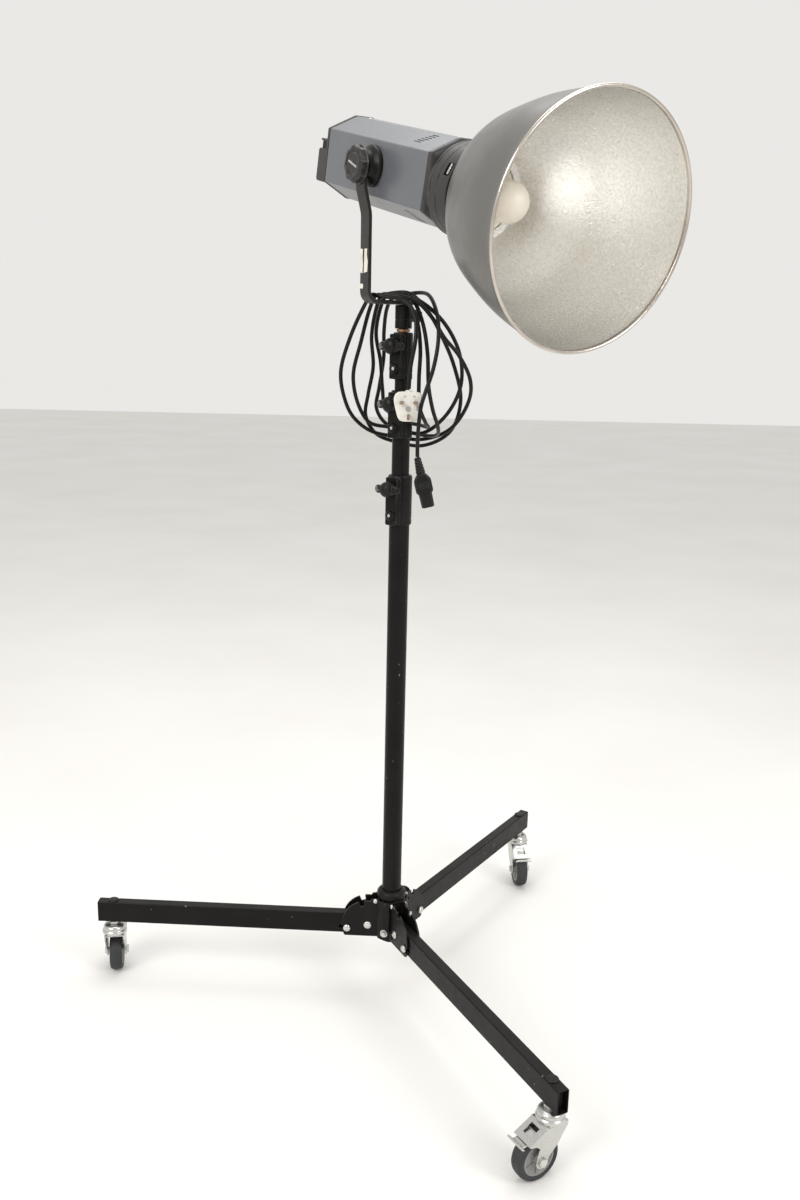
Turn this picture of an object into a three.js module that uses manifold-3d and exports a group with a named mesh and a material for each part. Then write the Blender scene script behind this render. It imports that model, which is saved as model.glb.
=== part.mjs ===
// Studio flash head with a deep reflector, on a wheeled folding stand with a hung mains lead.
// Units are millimetres, +Z is up, the floor is z = 0. The origin is the middle of the
// footprint at floor level. The stand is drawn about its mast axis, and the whole model is
// moved at the end so that its box is centred on the origin.
import * as THREE from 'three';
import { mergeVertices } from 'three/addons/utils/BufferGeometryUtils.js';
import Module from 'manifold-3d';

const wasm = await Module();
wasm.setup();

// ---------------------------------------------------------------- driving dimensions
const GAP = 0.3;                 // clearance left between touching pieces

// legs
const LEG_AZIMUTHS = { a: 177.5, b: 57.5, c: -62.5 };
const LEG_END = 555;             // mast axis to leg end
const LEG_HEIGHT = 40;
const LEG_WIDTH = 20;
const LEG_WALL = 1.6;
const LEG_MID = 136;             // height of the leg's centre line
const PIVOT_RADIUS = 43;         // mast axis to leg pivot
const LEG_TAIL = 7;              // tube behind the pivot
const PIVOT_BOLT_R = 4;
const PIN_AT = { x: 38.5, z: -7 }; // lock pin from the pivot
const PIN_R = 3;
const PIN_TRAVEL = 12;
const EDGE_R = 34;               // bracket arc that the pin passes over
const WEB_OPENING = [-10, 17];   // the folding leg's end corner swings through here
const CHEEK_TOP = 54;            // above the pivot
const PLATE = 3;
const STEM_RADIUS = 527;         // mast axis to caster stem

// casters
const WHEEL_R = 37.5;
const TYRE_WIDTH = 24;
const HUB_R = 27.5;
const TRAIL = 26;                // stem axis to wheel axle
const CASTER_AZIMUTHS = { a: 100, b: -82, c: -148 };
const FORK_TOP = 92;
const FORK_HALF = 16;            // to the inside of a cheek
const SHEET = 2.2;
const BRAKE_PIVOT = { x: 44, z: 76.5 };

// mast
const TUBE_RADII = [17.5, 15, 12.5];
const TUBE_WALL = 1.5;
const CLAMP_Z = [[894, 979], [1041, 1120], [1138, 1214]];
const CLAMP_RADII = [20, 17.6, 16];
const CLAMP_AZIMUTH = 234;
const TUBE_INSET = 55;           // tube left inside the clamp below when drawn at rest
const KNOB_DROP = 22;            // below the clamp's top
const SPIGOT_R = 8;

// yoke and head
const HEAD_AZIMUTH = -56.4;
const HEAD_TILT = 13.3;
const TILT_Z = 1466;
const TILT_ABOVE_AXIS = 6;       // tilt axis above the reflector's axis
const BODY_LIFT = 4;             // body section above the reflector's axis
const ADAPTOR_Z = [1220, 1258];
const ADAPTOR_R = 14;
const FOOT = 6.5;                // thickness of the yoke bar
const BAR_WIDTH = 25;
const ARM_LOW = 74;              // arm centre line, lower length
const ARM_HIGH = 84;             // arm centre line beside the head
const BODY_BACK = -147;
const BODY_FRONT = 148;
const BODY_HALF = 63.5;          // side faces
const BODY_SIDE_H = 41;          // half height of a side face
const BODY_TOP_W = 16;           // half width of the top face
const BODY_TOP = 65;
const BODY_WALL = 2.5;
const BOSS_R = 31;
const COLLAR_BACK = 163;
const COLLAR_FRONT = 213;
const COLLAR_R = 69;
const LATCH_X = 203;
const LATCH_ANGLE = 25;          // above the near side of the collar
const RIM_AT = 461.5;
const RIM_R = 168;
const DISH_WALL = 1.2;
const DOME_R = 30;
const DOME_AT = 272;

// mains lead
const LEAD_R = 3.25;
const LEAD_SIDES = 8;
const LEAD_STEPS = 104;
const LEAD_SAMPLES = 1500;
const LEAD_STRAIGHT = 110;       // length that counts as much as one radian of bend

// ---------------------------------------------------------------- solids
const rad = THREE.MathUtils.degToRad;

// A closed manifold solid from any closed three.js geometry, facing out.
function solid(geometry) {
  const plain = new THREE.BufferGeometry();
  plain.setAttribute('position', geometry.getAttribute('position').clone());
  if (geometry.index) plain.setIndex(geometry.index.clone());
  const merged = mergeVertices(plain, 1e-4);
  const at = merged.getAttribute('position');
  const kept = [];
  let volume = 0;
  const p = [new THREE.Vector3(), new THREE.Vector3(), new THREE.Vector3()];
  for (let i = 0; i < merged.index.count; i += 3) {
    const tri = [0, 1, 2].map((k) => merged.index.getX(i + k));
    if (tri[0] === tri[1] || tri[1] === tri[2] || tri[2] === tri[0]) continue;
    tri.forEach((v, k) => p[k].fromBufferAttribute(at, v));
    volume += p[0].dot(p[1].clone().cross(p[2]));
    kept.push(tri);
  }
  const triVerts = new Uint32Array(kept.flatMap((t) => (volume < 0 ? [t[0], t[2], t[1]] : t)));
  const vertProperties = new Float32Array(at.array);
  return new wasm.Manifold(new wasm.Mesh({ numProp: 3, vertProperties, triVerts }));
}

function geometryOf(manifold) {
  const mesh = manifold.getMesh();
  const geometry = new THREE.BufferGeometry();
  const at = new Float32Array(mesh.numVert * 3);
  for (let i = 0; i < mesh.numVert; i += 1) {
    for (let k = 0; k < 3; k += 1) at[3 * i + k] = mesh.vertProperties[mesh.numProp * i + k];
  }
  geometry.setAttribute('position', new THREE.BufferAttribute(at, 3));
  geometry.setIndex([...mesh.triVerts]);
  return geometry;
}

function join(first, ...others) {
  return others.reduce((sum, other) => sum.add(other), first);
}

function cut(first, ...others) {
  return others.reduce((rest, other) => rest.subtract(other), first);
}

// A geometry moved by a position and XYZ angles in degrees, as a solid.
function placed(geometry, [x, y, z] = [0, 0, 0], [ax, ay, az] = [0, 0, 0]) {
  const turn = new THREE.Quaternion().setFromEuler(new THREE.Euler(rad(ax), rad(ay), rad(az)));
  const move = new THREE.Matrix4().compose(
    new THREE.Vector3(x, y, z), turn, new THREE.Vector3(1, 1, 1));
  return solid(geometry.clone().applyMatrix4(move));
}

function box(x0, x1, y0, y1, z0, z1) {
  const geometry = new THREE.BoxGeometry(x1 - x0, y1 - y0, z1 - z0);
  return placed(geometry, [(x0 + x1) / 2, (y0 + y1) / 2, (z0 + z1) / 2]);
}

// A solid of revolution about Z from [radius, height] pairs. A profile that starts and ends
// on the axis is solid; any other profile is closed on itself.
function turned(profile, segments = 32) {
  const points = profile.map(([r, h]) => new THREE.Vector2(r, h));
  const onAxis = profile[0][0] === 0 && profile[profile.length - 1][0] === 0;
  if (!onAxis) points.push(points[0].clone());
  return new THREE.LatheGeometry(points, segments).rotateX(Math.PI / 2);
}

function rod(radius, z0, z1, segments = 24) {
  return turned([[0, z0], [radius, z0], [radius, z1], [0, z1]], segments);
}

function pipe(outer, inner, z0, z1, segments = 32) {
  return turned([[inner, z0], [outer, z0], [outer, z1], [inner, z1]], segments);
}

// Rods along X or Y through a point.
function rodAlongX(radius, x0, x1, [y, z] = [0, 0], segments = 14) {
  return placed(rod(radius, x0, x1, segments), [0, y, z], [0, 90, 0]);
}

function rodAlongY(radius, y0, y1, [x, z] = [0, 0], segments = 14) {
  return placed(rod(radius, -y1, -y0, segments), [x, 0, z], [90, 0, 0]);
}

function shapeOf(points) {
  return new THREE.Shape(points.map(([x, y]) => new THREE.Vector2(x, y)));
}

function arcPoints(cx, cy, radius, from, to, count) {
  return Array.from({ length: count + 1 }, (_, i) => {
    const angle = rad(from + ((to - from) * i) / count);
    return [cx + radius * Math.cos(angle), cy + radius * Math.sin(angle)];
  });
}

// A flat outline in the XZ plane, thick along Y from y0 to y1.
function slabXZ(points, y0, y1) {
  const geometry = new THREE.ExtrudeGeometry(
    shapeOf(points), { depth: y1 - y0, bevelEnabled: false });
  return placed(geometry, [0, y1, 0], [90, 0, 0]);
}

// A flat outline in the YZ plane, thick along X from x0 to x1.
function slabYZ(points, x0, x1) {
  const geometry = new THREE.ExtrudeGeometry(
    shapeOf(points), { depth: x1 - x0, bevelEnabled: false });
  geometry.rotateX(Math.PI / 2).rotateZ(Math.PI / 2);
  return placed(geometry, [x0, 0, 0]);
}

// A closed skin through rings of equal point counts, in order along the piece. The first and
// last rings are joined when the skin is a ring of its own section, and capped otherwise.
function loft(rings, closed) {
  const count = rings[0].length;
  const points = rings.flat();
  const index = [];
  const last = closed ? rings.length : rings.length - 1;
  for (let i = 0; i < last; i += 1) {
    const here = i * count;
    const next = ((i + 1) % rings.length) * count;
    for (let k = 0; k < count; k += 1) {
      const k2 = (k + 1) % count;
      index.push(here + k, here + k2, next + k2, here + k, next + k2, next + k);
    }
  }
  if (!closed) {
    const end = (rings.length - 1) * count;
    for (let k = 1; k < count - 1; k += 1) {
      index.push(0, k + 1, k, end, end + k, end + k + 1);
    }
  }
  const geometry = new THREE.BufferGeometry();
  geometry.setAttribute('position', new THREE.Float32BufferAttribute(points.flat(), 3));
  geometry.setIndex(index);
  return geometry;
}

// ---------------------------------------------------------------- materials
function finish(color, roughness, metalness = 0) {
  return new THREE.MeshStandardMaterial({ color, roughness, metalness });
}

const BLACK_STEEL = finish(0x17171a, 0.45, 0.3);
const ZINC = finish(0xc3c6c2, 0.32, 0.9);
const RUBBER = finish(0x3a3c40, 0.8);
const GREY_PLASTIC = finish(0x8f9290, 0.5);
const BLACK_PLASTIC = finish(0x1b1b1c, 0.55);
const HOUSING_PAINT = finish(0xa5a7ad, 0.5, 0.1);
const DARK_CASTING = finish(0x3d3b3c, 0.5, 0.2);
const DISH_METAL = finish(0xa09e97, 0.4, 0.6);
const FROSTED = finish(0xe9dfc8, 0.45);
const CLEAR_GLASS = finish(0xd8dde0, 0.1);
const BRASS = finish(0xa07a4a, 0.35, 0.9);
const WHITE_PLASTIC = finish(0xe9e5dc, 0.4);
const BOARD_GREEN = finish(0x2f5a3a, 0.6);
const CAPACITOR_BLUE = finish(0x2b3a5c, 0.5);

function mesh(name, shape, material) {
  const made = new THREE.Mesh(geometryOf(shape), material);
  made.name = name;
  return made;
}

function group(name, [x, y, z], [ax, ay, az] = [0, 0, 0]) {
  const made = new THREE.Group();
  made.name = name;
  made.position.set(x, y, z);
  made.rotation.set(rad(ax), rad(ay), rad(az));
  return made;
}

// ---------------------------------------------------------------- stand hub
function hubSleeve() {
  const inner = TUBE_RADII[0] + GAP;
  const body = placed(turned([
    [inner, 106], [21, 106], [21, 192], [27, 194], [27, 203], [22, 207], [inner, 207],
  ], 28));
  return body;
}

// A folded channel: two cheeks either side of the leg, and an open web by the sleeve. Each
// cheek has a low toe under the lock pin, an arc that the pin passes over as the leg folds,
// and a horn above, beside the upright position.
function legBracket() {
  const inside = LEG_WIDTH / 2 + 0.6;
  const outside = inside + PLATE;
  const web = 21 + GAP - PIVOT_RADIUS;
  const low = -23;
  const cheek = [
    [web, low], [37, low], [39.5, low + 3], [39.5, PIN_AT.z - PIN_R - 1.5],
    [33, PIN_AT.z - PIN_R - 1.5], ...arcPoints(0, 0, EDGE_R, -8, 88, 12),
    [1.2, CHEEK_TOP - 4], [-1, CHEEK_TOP], [web, CHEEK_TOP],
  ];
  const left = slabXZ(cheek, inside, outside);
  const right = slabXZ(cheek, -outside, -inside);
  const reach = inside + 1;
  const lowBack = box(web, web + 2.5, -reach, reach, low, WEB_OPENING[0]);
  const highBack = box(web, web + 2.5, -reach, reach, WEB_OPENING[1], CHEEK_TOP);
  return join(left, right, lowBack, highBack, pivotBolt(), ringBolt(1), ringBolt(-1));
}

// The riveted pivot pin between the cheeks, with a hex head and a nut outside them.
function pivotBolt() {
  const out = LEG_WIDTH / 2 + 0.6 + PLATE;
  const shank = rodAlongY(PIVOT_BOLT_R, -out - 1, out + 1);
  const head = rodAlongY(6.6, out - 0.5, out + 4.5, [0, 0], 6);
  const nut = rodAlongY(6.6, -out - 5.5, 0.5 - out, [0, 0], 6);
  return join(shank, head, nut);
}

function ringBolt(side) {
  const out = LEG_WIDTH / 2 + 0.6 + PLATE;
  const [y0, y1] = side > 0 ? [out - 0.5, out + 3] : [-out - 3, 0.5 - out];
  return rodAlongY(5, y0, y1, [-14, 45], 12);
}

// ---------------------------------------------------------------- legs
function legTube() {
  const start = -LEG_TAIL;
  const end = LEG_END - PIVOT_RADIUS;
  const w = LEG_WIDTH / 2;
  const h = LEG_HEIGHT / 2;
  const outer = box(start, end, -w, w, -h, h);
  const bore = box(start - 1, end - 3, -w + LEG_WALL, w - LEG_WALL, -h + LEG_WALL, h - LEG_WALL);
  const pivot = rodAlongY(PIVOT_BOLT_R + GAP, -w - 1, w + 1, [0, 0], 16);
  const { x, z } = PIN_AT;
  const slotHalf = PIN_R + 0.4;
  const slot = box(x, x + PIN_TRAVEL, -w - 1, w + 1, z - slotHalf, z + slotHalf);
  const slotEnds = [0, PIN_TRAVEL].map(
    (d) => rodAlongY(slotHalf, -w - 1, w + 1, [x + d, z], 12));
  const stem = STEM_RADIUS - PIVOT_RADIUS;
  const stemHole = placed(rod(6.3, -h - 1, h + 1, 16), [stem, 0, 0]);
  return cut(outer, bore, pivot, slot, ...slotEnds, stemHole);
}

function lockPin() {
  const out = LEG_WIDTH / 2 + 0.6 + PLATE + 0.5;
  const shank = rodAlongY(PIN_R, -out - 1, out + 1, [PIN_AT.x, PIN_AT.z], 10);
  const heads = [[out, out + 4], [-out - 4, -out]].map(
    ([y0, y1]) => rodAlongY(6, y0, y1, [PIN_AT.x, PIN_AT.z], 12));
  return join(shank, ...heads);
}

// Threaded stem with its nut under the leg, and the domed plug on top of the leg.
function casterStem() {
  const h = LEG_HEIGHT / 2;
  const low = 110.3 - LEG_MID;
  return placed(turned([
    [0, low], [11, low], [11, -h - GAP], [6, -h - GAP], [6, h + GAP],
    [9, h + GAP], [8, h + 2.5], [0, h + 3.2],
  ], 16));
}

// ---------------------------------------------------------------- casters
// Local frame: the stem axis is x = 0, the wheel trails along +X, z is the floor height.
function casterFork() {
  const out = FORK_HALF + SHEET;
  const cheek = [
    [-20, FORK_TOP], [-19, 84], [-10, 74], [TRAIL - 12, 42],
    ...arcPoints(TRAIL, 37.5, 11, 170, 370, 8),
    [TRAIL + 9, 50], [30, 66], [50, 70], [53, 75], [20, FORK_TOP],
  ];
  const left = slabXZ(cheek, FORK_HALF, out);
  const right = slabXZ(cheek, -out, -FORK_HALF);
  const hood = [
    [-20, FORK_TOP - SHEET], [19.4, FORK_TOP - SHEET], [52, 73.2], [53, 75], [20, FORK_TOP],
    [-20, FORK_TOP],
  ];
  const roof = slabXZ(hood, -out, out);
  const window = box(26, 42, -9, 9, 70, 100);
  const race = placed(turned([
    [0, FORK_TOP - 1], [21, FORK_TOP - 1], [23, 95], [22, 99], [20, 100], [20, 105],
    [17, 109], [0, 110],
  ], 18));
  const axle = rodAlongY(5, -out - 3, out + 3, [TRAIL, WHEEL_R], 12);
  const ends = [[out, out + 4], [-out - 4, -out]].map(
    ([y0, y1]) => rodAlongY(7, y0, y1, [TRAIL, WHEEL_R], 6));
  return join(cut(join(left, right, roof), window), race, axle, ...ends);
}

function tyre() {
  const w = TYRE_WIDTH / 2;
  const inner = HUB_R + GAP;
  return placed(turned([
    [inner, -w + 1], [32, -w], [36, -w + 3], [WHEEL_R, -4], [WHEEL_R, 4], [36, w - 3],
    [32, w], [inner, w - 1],
  ], 32), [0, 0, 0], [90, 0, 0]);
}

function wheelHub() {
  const w = TYRE_WIDTH / 2;
  return placed(turned([
    [5.4, -w - 1.5], [9, -w - 1.5], [10, -w + 2.5], [23, -w + 2.5], [HUB_R, -w + 1],
    [HUB_R, w - 1], [23, w - 2.5], [10, w - 2.5], [9, w + 1.5], [5.4, w + 1.5],
  ], 20), [0, 0, 0], [90, 0, 0]);
}

// Brake lever under the hood, about its pivot: a shoe over the wheel, a tongue in the hood's
// window and a curved foot plate beyond the hood.
function brakePedal() {
  const lever = [
    [-15, 3.5], [-13, 0.5], [2, -5.2], [16, -6.6], [21, -4.2], [22, -1.5], [19.5, 0],
    [16, -4.4], [2, -2.6], [-12, 3], [-13, 5],
  ];
  const plate = slabXZ(lever, -12, 12);
  const tip = slabXZ([[14.5, -6.6], [21, -4.2], [22, -1.5], [19.5, 0], [16, -4.4]], -17, 17);
  const pin = rodAlongY(2, -14.5, 14.5, [0, -2.2], 12);
  return join(plate, tip, pin);
}

// ---------------------------------------------------------------- mast
function mastTube(radius, z0, z1) {
  return placed(pipe(radius, radius - TUBE_WALL, z0, z1, 24));
}

// A cast clamp: a sleeve around the tube below and the tube above, with a flat boss that
// takes the knob's thread and a domed cross bolt. Local z = 0 is the clamp's foot.
function clamp(level) {
  const [z0, z1] = CLAMP_Z[level];
  const outer = CLAMP_RADII[level];
  const height = z1 - z0;
  const upper = level < 2 ? TUBE_RADII[level + 1] : SPIGOT_R;
  const lower = TUBE_RADII[level];
  const sleeve = placed(turned([
    [0, 0], [outer, 0], [outer + 0.6, 2], [outer + 0.6, height - 3], [outer - 0.6, height],
    [0, height],
  ], 24));
  const boss = box(0, outer + 6, -11, 11, 4, height - 3);
  const lugs = box(0, outer + 6, -11, 11, 0, 4);
  const through = placed(rod(upper + GAP, -1, height + 1, 20));
  const socket = placed(rod(lower + GAP, -1, height - 34, 20));
  const thread = rodAlongX(4.4, upper, outer + 8, [0, height - KNOB_DROP], 16);
  const dome = placed(turned([
    [0, -4], [8.5, -4], [8.5, 2], [6.5, 5], [0, 7],
  ], 14), [outer + 6, 0, 18], [0, 90, 0]);
  return cut(join(sleeve, boss, lugs, dome), through, socket, thread);
}

// A wing knob on a screw, along local +X, with its nose just off the tube.
function clampKnob(level) {
  const start = (level < 2 ? TUBE_RADII[level + 1] : SPIGOT_R) + 2 * GAP + 0.2;
  const face = CLAMP_RADII[level] + 6 + 1.2;
  const screw = rodAlongX(4, start, face + 4, [0, 0], 12);
  const body = placed(turned([
    [0, 0], [9, 0], [10, 2], [9.5, 12], [7, 17], [0, 18],
  ], 12), [face, 0, 0], [0, 90, 0]);
  const wing = slabYZ([
    [-21, -3.5], [-19, -6.5], [-9, -5], [9, -5], [19, -6.5], [21, -3.5], [21, 3.5],
    [19, 6.5], [9, 5], [-9, 5], [-19, 6.5], [-21, 3.5],
  ], face + 5, face + 15);
  return join(screw, body, wing);
}

function spigot() {
  return placed(turned([
    [0, 1150], [SPIGOT_R, 1150], [SPIGOT_R, 1214.4], [10.5, 1214.8], [10.5, 1219.4],
    [SPIGOT_R, 1219.6], [SPIGOT_R, 1222], [6.5, 1224], [6.5, 1230], [SPIGOT_R, 1232],
    [SPIGOT_R, 1250], [6.5, 1252], [0, 1252],
  ], 16));
}

// ---------------------------------------------------------------- yoke
// Local frame: the mast axis is x = y = 0, +X is the way the head faces, -Y is the arm's side.
function spigotAdaptor() {
  const [z0, z1] = ADAPTOR_Z;
  const sleeve = placed(turned([
    [0, z0], [ADAPTOR_R - 0.6, z0], [ADAPTOR_R, z0 + 1], [ADAPTOR_R, z1 - 0.3], [0, z1 - 0.3],
  ], 20));
  const boss = rodAlongY(9, 8, 18, [0, 1241], 20);
  const bore = placed(rod(SPIGOT_R + GAP, z0 - 1, 1253));
  const thread = rodAlongY(3.4, 6, 20, [0, 1241], 16);
  return cut(join(sleeve, boss), bore, thread);
}

function adaptorKnob() {
  const screw = rodAlongY(3, SPIGOT_R + 2 * GAP, 22, [0, 0], 16);
  const grip = placed(turned([
    [0, 0], [9, 0], [10.5, 2], [10.5, 10], [8.5, 12.5], [0, 13],
  ], 10), [0, 18.6, 0], [-90, 0, 0]);
  return join(screw, grip);
}

// One bent bar: a flat foot over the adaptor, a round bend, a long arm and a small joggle.
function yokeArm() {
  const half = FOOT / 2;
  const z = ADAPTOR_Z[1] + half;
  const bend = 16;
  const line = [
    [13, z], [0, z], [-(ARM_LOW - bend), z],
    ...arcPoints(-(ARM_LOW - bend), z + bend, bend, -90, -180, 8).slice(1),
    [-ARM_LOW, 1394], [-ARM_LOW - 1, 1400], [-ARM_HIGH + 1, 1428], [-ARM_HIGH, 1434],
    [-ARM_HIGH, TILT_Z + 1],
  ];
  const outline = [...offsetLine(line, half), ...offsetLine(line, -half).reverse()];
  const bar = slabYZ(outline, -BAR_WIDTH / 2, BAR_WIDTH / 2);
  const eye = rodAlongY(BAR_WIDTH / 2, -ARM_HIGH - half, -ARM_HIGH + half, [0, TILT_Z], 24);
  const bore = rodAlongY(5 + GAP, -ARM_HIGH - 9, -ARM_HIGH + 9, [0, TILT_Z]);
  return cut(join(bar, eye), bore);
}

// The line moved sideways by a distance, with mitred corners.
function offsetLine(line, distance) {
  return line.map(([x, y], i) => {
    const before = line[Math.max(i - 1, 0)];
    const after = line[Math.min(i + 1, line.length - 1)];
    const from = new THREE.Vector2(x - before[0], y - before[1]);
    const to = new THREE.Vector2(after[0] - x, after[1] - y);
    const a = (i === 0 ? to : from).clone().normalize();
    const b = (i === line.length - 1 ? from : to).clone().normalize();
    const along = a.clone().add(b).normalize();
    const reach = distance / along.dot(a);
    return [x - along.y * reach, y + along.x * reach];
  });
}

// A six-lobed hand knob on the tilt axis, with a round flange against the arm, a dished
// centre and a bar across it.
function tiltKnob() {
  const inner = -ARM_HIGH - FOOT / 2 - GAP;
  const face = inner - 14;
  const lobes = Array.from({ length: 36 }, (_, i) => {
    const angle = (i / 36) * 2 * Math.PI;
    const r = 27.2 + 1.8 * Math.cos(6 * angle);
    return [r * Math.cos(angle), r * Math.sin(angle)];
  });
  const grip = slabXZ(lobes, face, inner - 2);
  const flange = rodAlongY(29, inner - 3.5, inner, [0, 0], 32);
  const dish = rodAlongY(19, face - 1, face + 2, [0, 0], 24);
  const bar = placed(new THREE.BoxGeometry(27, 3, 3.2), [0, face + 1.8, 0], [0, 27, 0]);
  const stud = rodAlongY(5, inner - 1, -BODY_HALF - 6, [0, 0], 14);
  return join(cut(join(grip, flange), dish), bar, stud);
}

// ---------------------------------------------------------------- head
// Local frame: the tilt axis is x = z = 0, +X runs along the head to the reflector.
function bodyOutline(inset) {
  const side = BODY_HALF - inset;
  const top = BODY_TOP - inset;
  const slant = 0.42 * inset;
  const quarter = [[side, BODY_SIDE_H - slant], [BODY_TOP_W - slant * 0.3, top]];
  const half = [...quarter, ...quarter.map(([y, z]) => [-y, z]).reverse()];
  const all = [...half, ...half.map(([y, z]) => [-y, -z])];
  return all.map(([y, z]) => [y, z + BODY_LIFT]);
}

function housingShell() {
  const outer = slabYZ(bodyOutline(0), BODY_BACK, BODY_FRONT);
  const inner = slabYZ(bodyOutline(BODY_WALL), BODY_BACK - 1, BODY_FRONT + 1);
  const vents = [];
  for (const [side, level] of [[1, 1], [-1, 1], [1, -1], [-1, -1]]) {
    for (let i = 0; i < 6; i += 1) vents.push(ventSlot(side, level, i));
  }
  const pivot = rodAlongY(9, -BODY_HALF - 2, -BODY_HALF + 5, [0, TILT_ABOVE_AXIS]);
  return cut(outer, inner, ...vents, pivot);
}

// One of six slots along the head in a slanted face, in a row that steps forward as it
// climbs the face.
function ventSlot(side, level, i) {
  const across = [BODY_HALF - BODY_TOP_W, BODY_TOP - BODY_SIDE_H];
  const slant = Math.atan2(across[1], across[0]);
  const reach = (20 + 5.2 * i) / Math.hypot(...across);
  const y = side * (BODY_HALF - across[0] * reach);
  const z = level * (BODY_SIDE_H + across[1] * reach) + BODY_LIFT;
  const lean = THREE.MathUtils.radToDeg(-side * level * slant);
  return placed(new THREE.BoxGeometry(19, 2.4, 14), [88 + 2.4 * i, y, z], [lean, 0, 0]);
}

// Rear cover with a raised rim, a deep proud block under a hood, and the holes for its
// controls.
function rearPanel() {
  const back = BODY_BACK - GAP;
  const rim = slabYZ(bodyOutline(-1), back - 5, back);
  const block = box(back - 33, back - 3, -60, 60, -37, 11);
  const core = box(back - 28, back - 3, -56, 56, 10, 24);
  const hood = box(back - 31, back - 3, -60, 60, 23, 26);
  const scoop = box(back - 34, back - 23, -52, 52, -32, 6);
  const inlet = box(back - 40, back + 1, -45, -21, -30, -12);
  const rocker = box(back - 40, back + 1, 26, 42, -29.4, -12.6);
  const dials = [-12, 12].map((y) => rodAlongX(3, back - 40, back + 1, [y, -12]));
  const button = rodAlongX(4.3, back - 40, back + 1, [0, 17]);
  return cut(join(rim, block, core, hood), scoop, inlet, rocker, ...dials, button);
}

function dial() {
  const face = BODY_BACK - GAP - 23;
  return join(rodAlongX(2.6, face - 3, face + 17, [0, 0], 16),
    rodAlongX(8.5, face - 11, face - 0.6, [0, 0], 20),
    box(face - 12, face - 10, -1, 1, 0, 8));
}

function testButton() {
  const face = BODY_BACK - GAP - 28;
  return rodAlongX(4, face - 3, face + 16, [0, 17], 16);
}

function rockerSwitch() {
  return slabXZ([
    [-7, -3.4], [-5.2, -6.6], [0, -5.2], [5.2, -3.6], [7, -2.2], [6.6, 3], [-6.6, 3],
  ], -7.4, 7.4);
}

function mainsInlet() {
  const face = BODY_BACK - GAP - 22.5;
  const shell = box(face, face + 20, -44.6, -21.4, -29.6, -12.4);
  const well = box(face - 1, face + 16, -43, -23, -28, -14);
  const pins = [[-39, -20], [-27, -20], [-33, -23.5]].map(
    ([y, z]) => box(face + 2, face + 17, y - 1, y + 1, z - 2, z + 2));
  return join(cut(shell, well), ...pins);
}

// Front casting: the eight-sided body section, then a step down to the round collar that
// holds the reflector's neck.
function frontBezel() {
  const steps = 32;
  const outline = bodyOutline(-1.2);
  const ring = (x, round, radius) => Array.from({ length: steps }, (_, i) => {
    const angle = (i / steps) * 2 * Math.PI;
    const flat = outlineRadius(outline, angle);
    const r = flat + (radius - flat) * round;
    return [x, r * Math.cos(angle), r * Math.sin(angle)];
  });
  const start = BODY_FRONT + GAP;
  const inner = 52;
  return solid(loft([
    ring(start, 0, 0), ring(start + 8, 0.04, COLLAR_R), ring(COLLAR_BACK - 2, 0.75, 62),
    ring(COLLAR_BACK, 1, COLLAR_R - 1), ring(COLLAR_FRONT - 3, 1, COLLAR_R),
    ring(COLLAR_FRONT, 1, COLLAR_R - 3), ring(COLLAR_FRONT, 1, inner), ring(start, 1, inner),
  ], true));
}

// Distance from the centre to a convex outline along a direction.
function outlineRadius(outline, angle) {
  const dir = new THREE.Vector2(Math.cos(angle), Math.sin(angle));
  let nearest = Infinity;
  outline.forEach(([ay, az], i) => {
    const [by, bz] = outline[(i + 1) % outline.length];
    const normal = new THREE.Vector2(bz - az, ay - by);
    const speed = normal.dot(dir);
    const reach = (normal.x * ay + normal.y * az) / speed;
    if (reach > 0 && reach < nearest) nearest = reach;
  });
  return nearest;
}

// The collar with its latch slot cut and its bore opened for the reflector's neck.
function finishedBezel() {
  const slot = latchFrame(box(LATCH_X - 7, LATCH_X + 6.5, -10, 10, 58, 78));
  const seat = rodAlongX(57.5, COLLAR_FRONT - 11, COLLAR_FRONT + 1, [0, 0], 32);
  return cut(frontBezel(), slot, seat);
}

// A shape drawn at the top of the collar, turned to the latch's place on the near side.
function latchFrame(shape) {
  return solid(geometryOf(shape).rotateX(rad(90 - LATCH_ANGLE)));
}

function releaseLatch() {
  const base = box(LATCH_X - 1, LATCH_X + 5.5, -9, 9, 59, 66);
  const bar = box(LATCH_X + 2, LATCH_X + 5.5, -8, 8, 65, 71);
  return latchFrame(join(base, bar));
}

function lampCarrier() {
  const disc = rodAlongX(51.4, 152, 160, [0, 0], 32);
  const socket = rodAlongX(15, 159, 178, [0, 0], 20);
  const ring = [[0, 21], [0, -21]].map(([y, z]) => rodAlongX(5, 159, 176, [y, z], 12));
  const bores = [[0, 21], [0, -21]].map(([y, z]) => rodAlongX(2.8, 170, 178, [y, z], 12));
  const lampBore = rodAlongX(8.4, 166, 180, [0, 0], 20);
  return cut(join(disc, socket, ...ring), ...bores, lampBore);
}

// Glass ring of the flash tube on its two legs.
function flashTube() {
  const x = 205;
  const route = [
    [171, 0, 21], [x - 14, 0, 21], [x - 3, 5, 21], [x, 14, 16], [x, 21, 0], [x, 14, -16],
    [x - 3, 5, -21], [x - 14, 0, -21], [171, 0, -21],
  ];
  const curve = new THREE.CatmullRomCurve3(
    route.map(([px, py, pz]) => new THREE.Vector3(px, py, pz)), false, 'centripetal');
  const section = shapeOf(arcPoints(0, 0, 2.4, 0, 315, 7));
  return solid(new THREE.ExtrudeGeometry(
    section, { steps: 26, extrudePath: curve, bevelEnabled: false }));
}

function modellingLamp() {
  return placed(turned([
    [0, 166.6], [8, 166.6], [8, 186], [6, 188], [6.5, 196], [9, 203], [9, 222], [6, 228],
    [0, 231],
  ], 20), [0, 0, 0], [0, 90, 0]);
}

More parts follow.
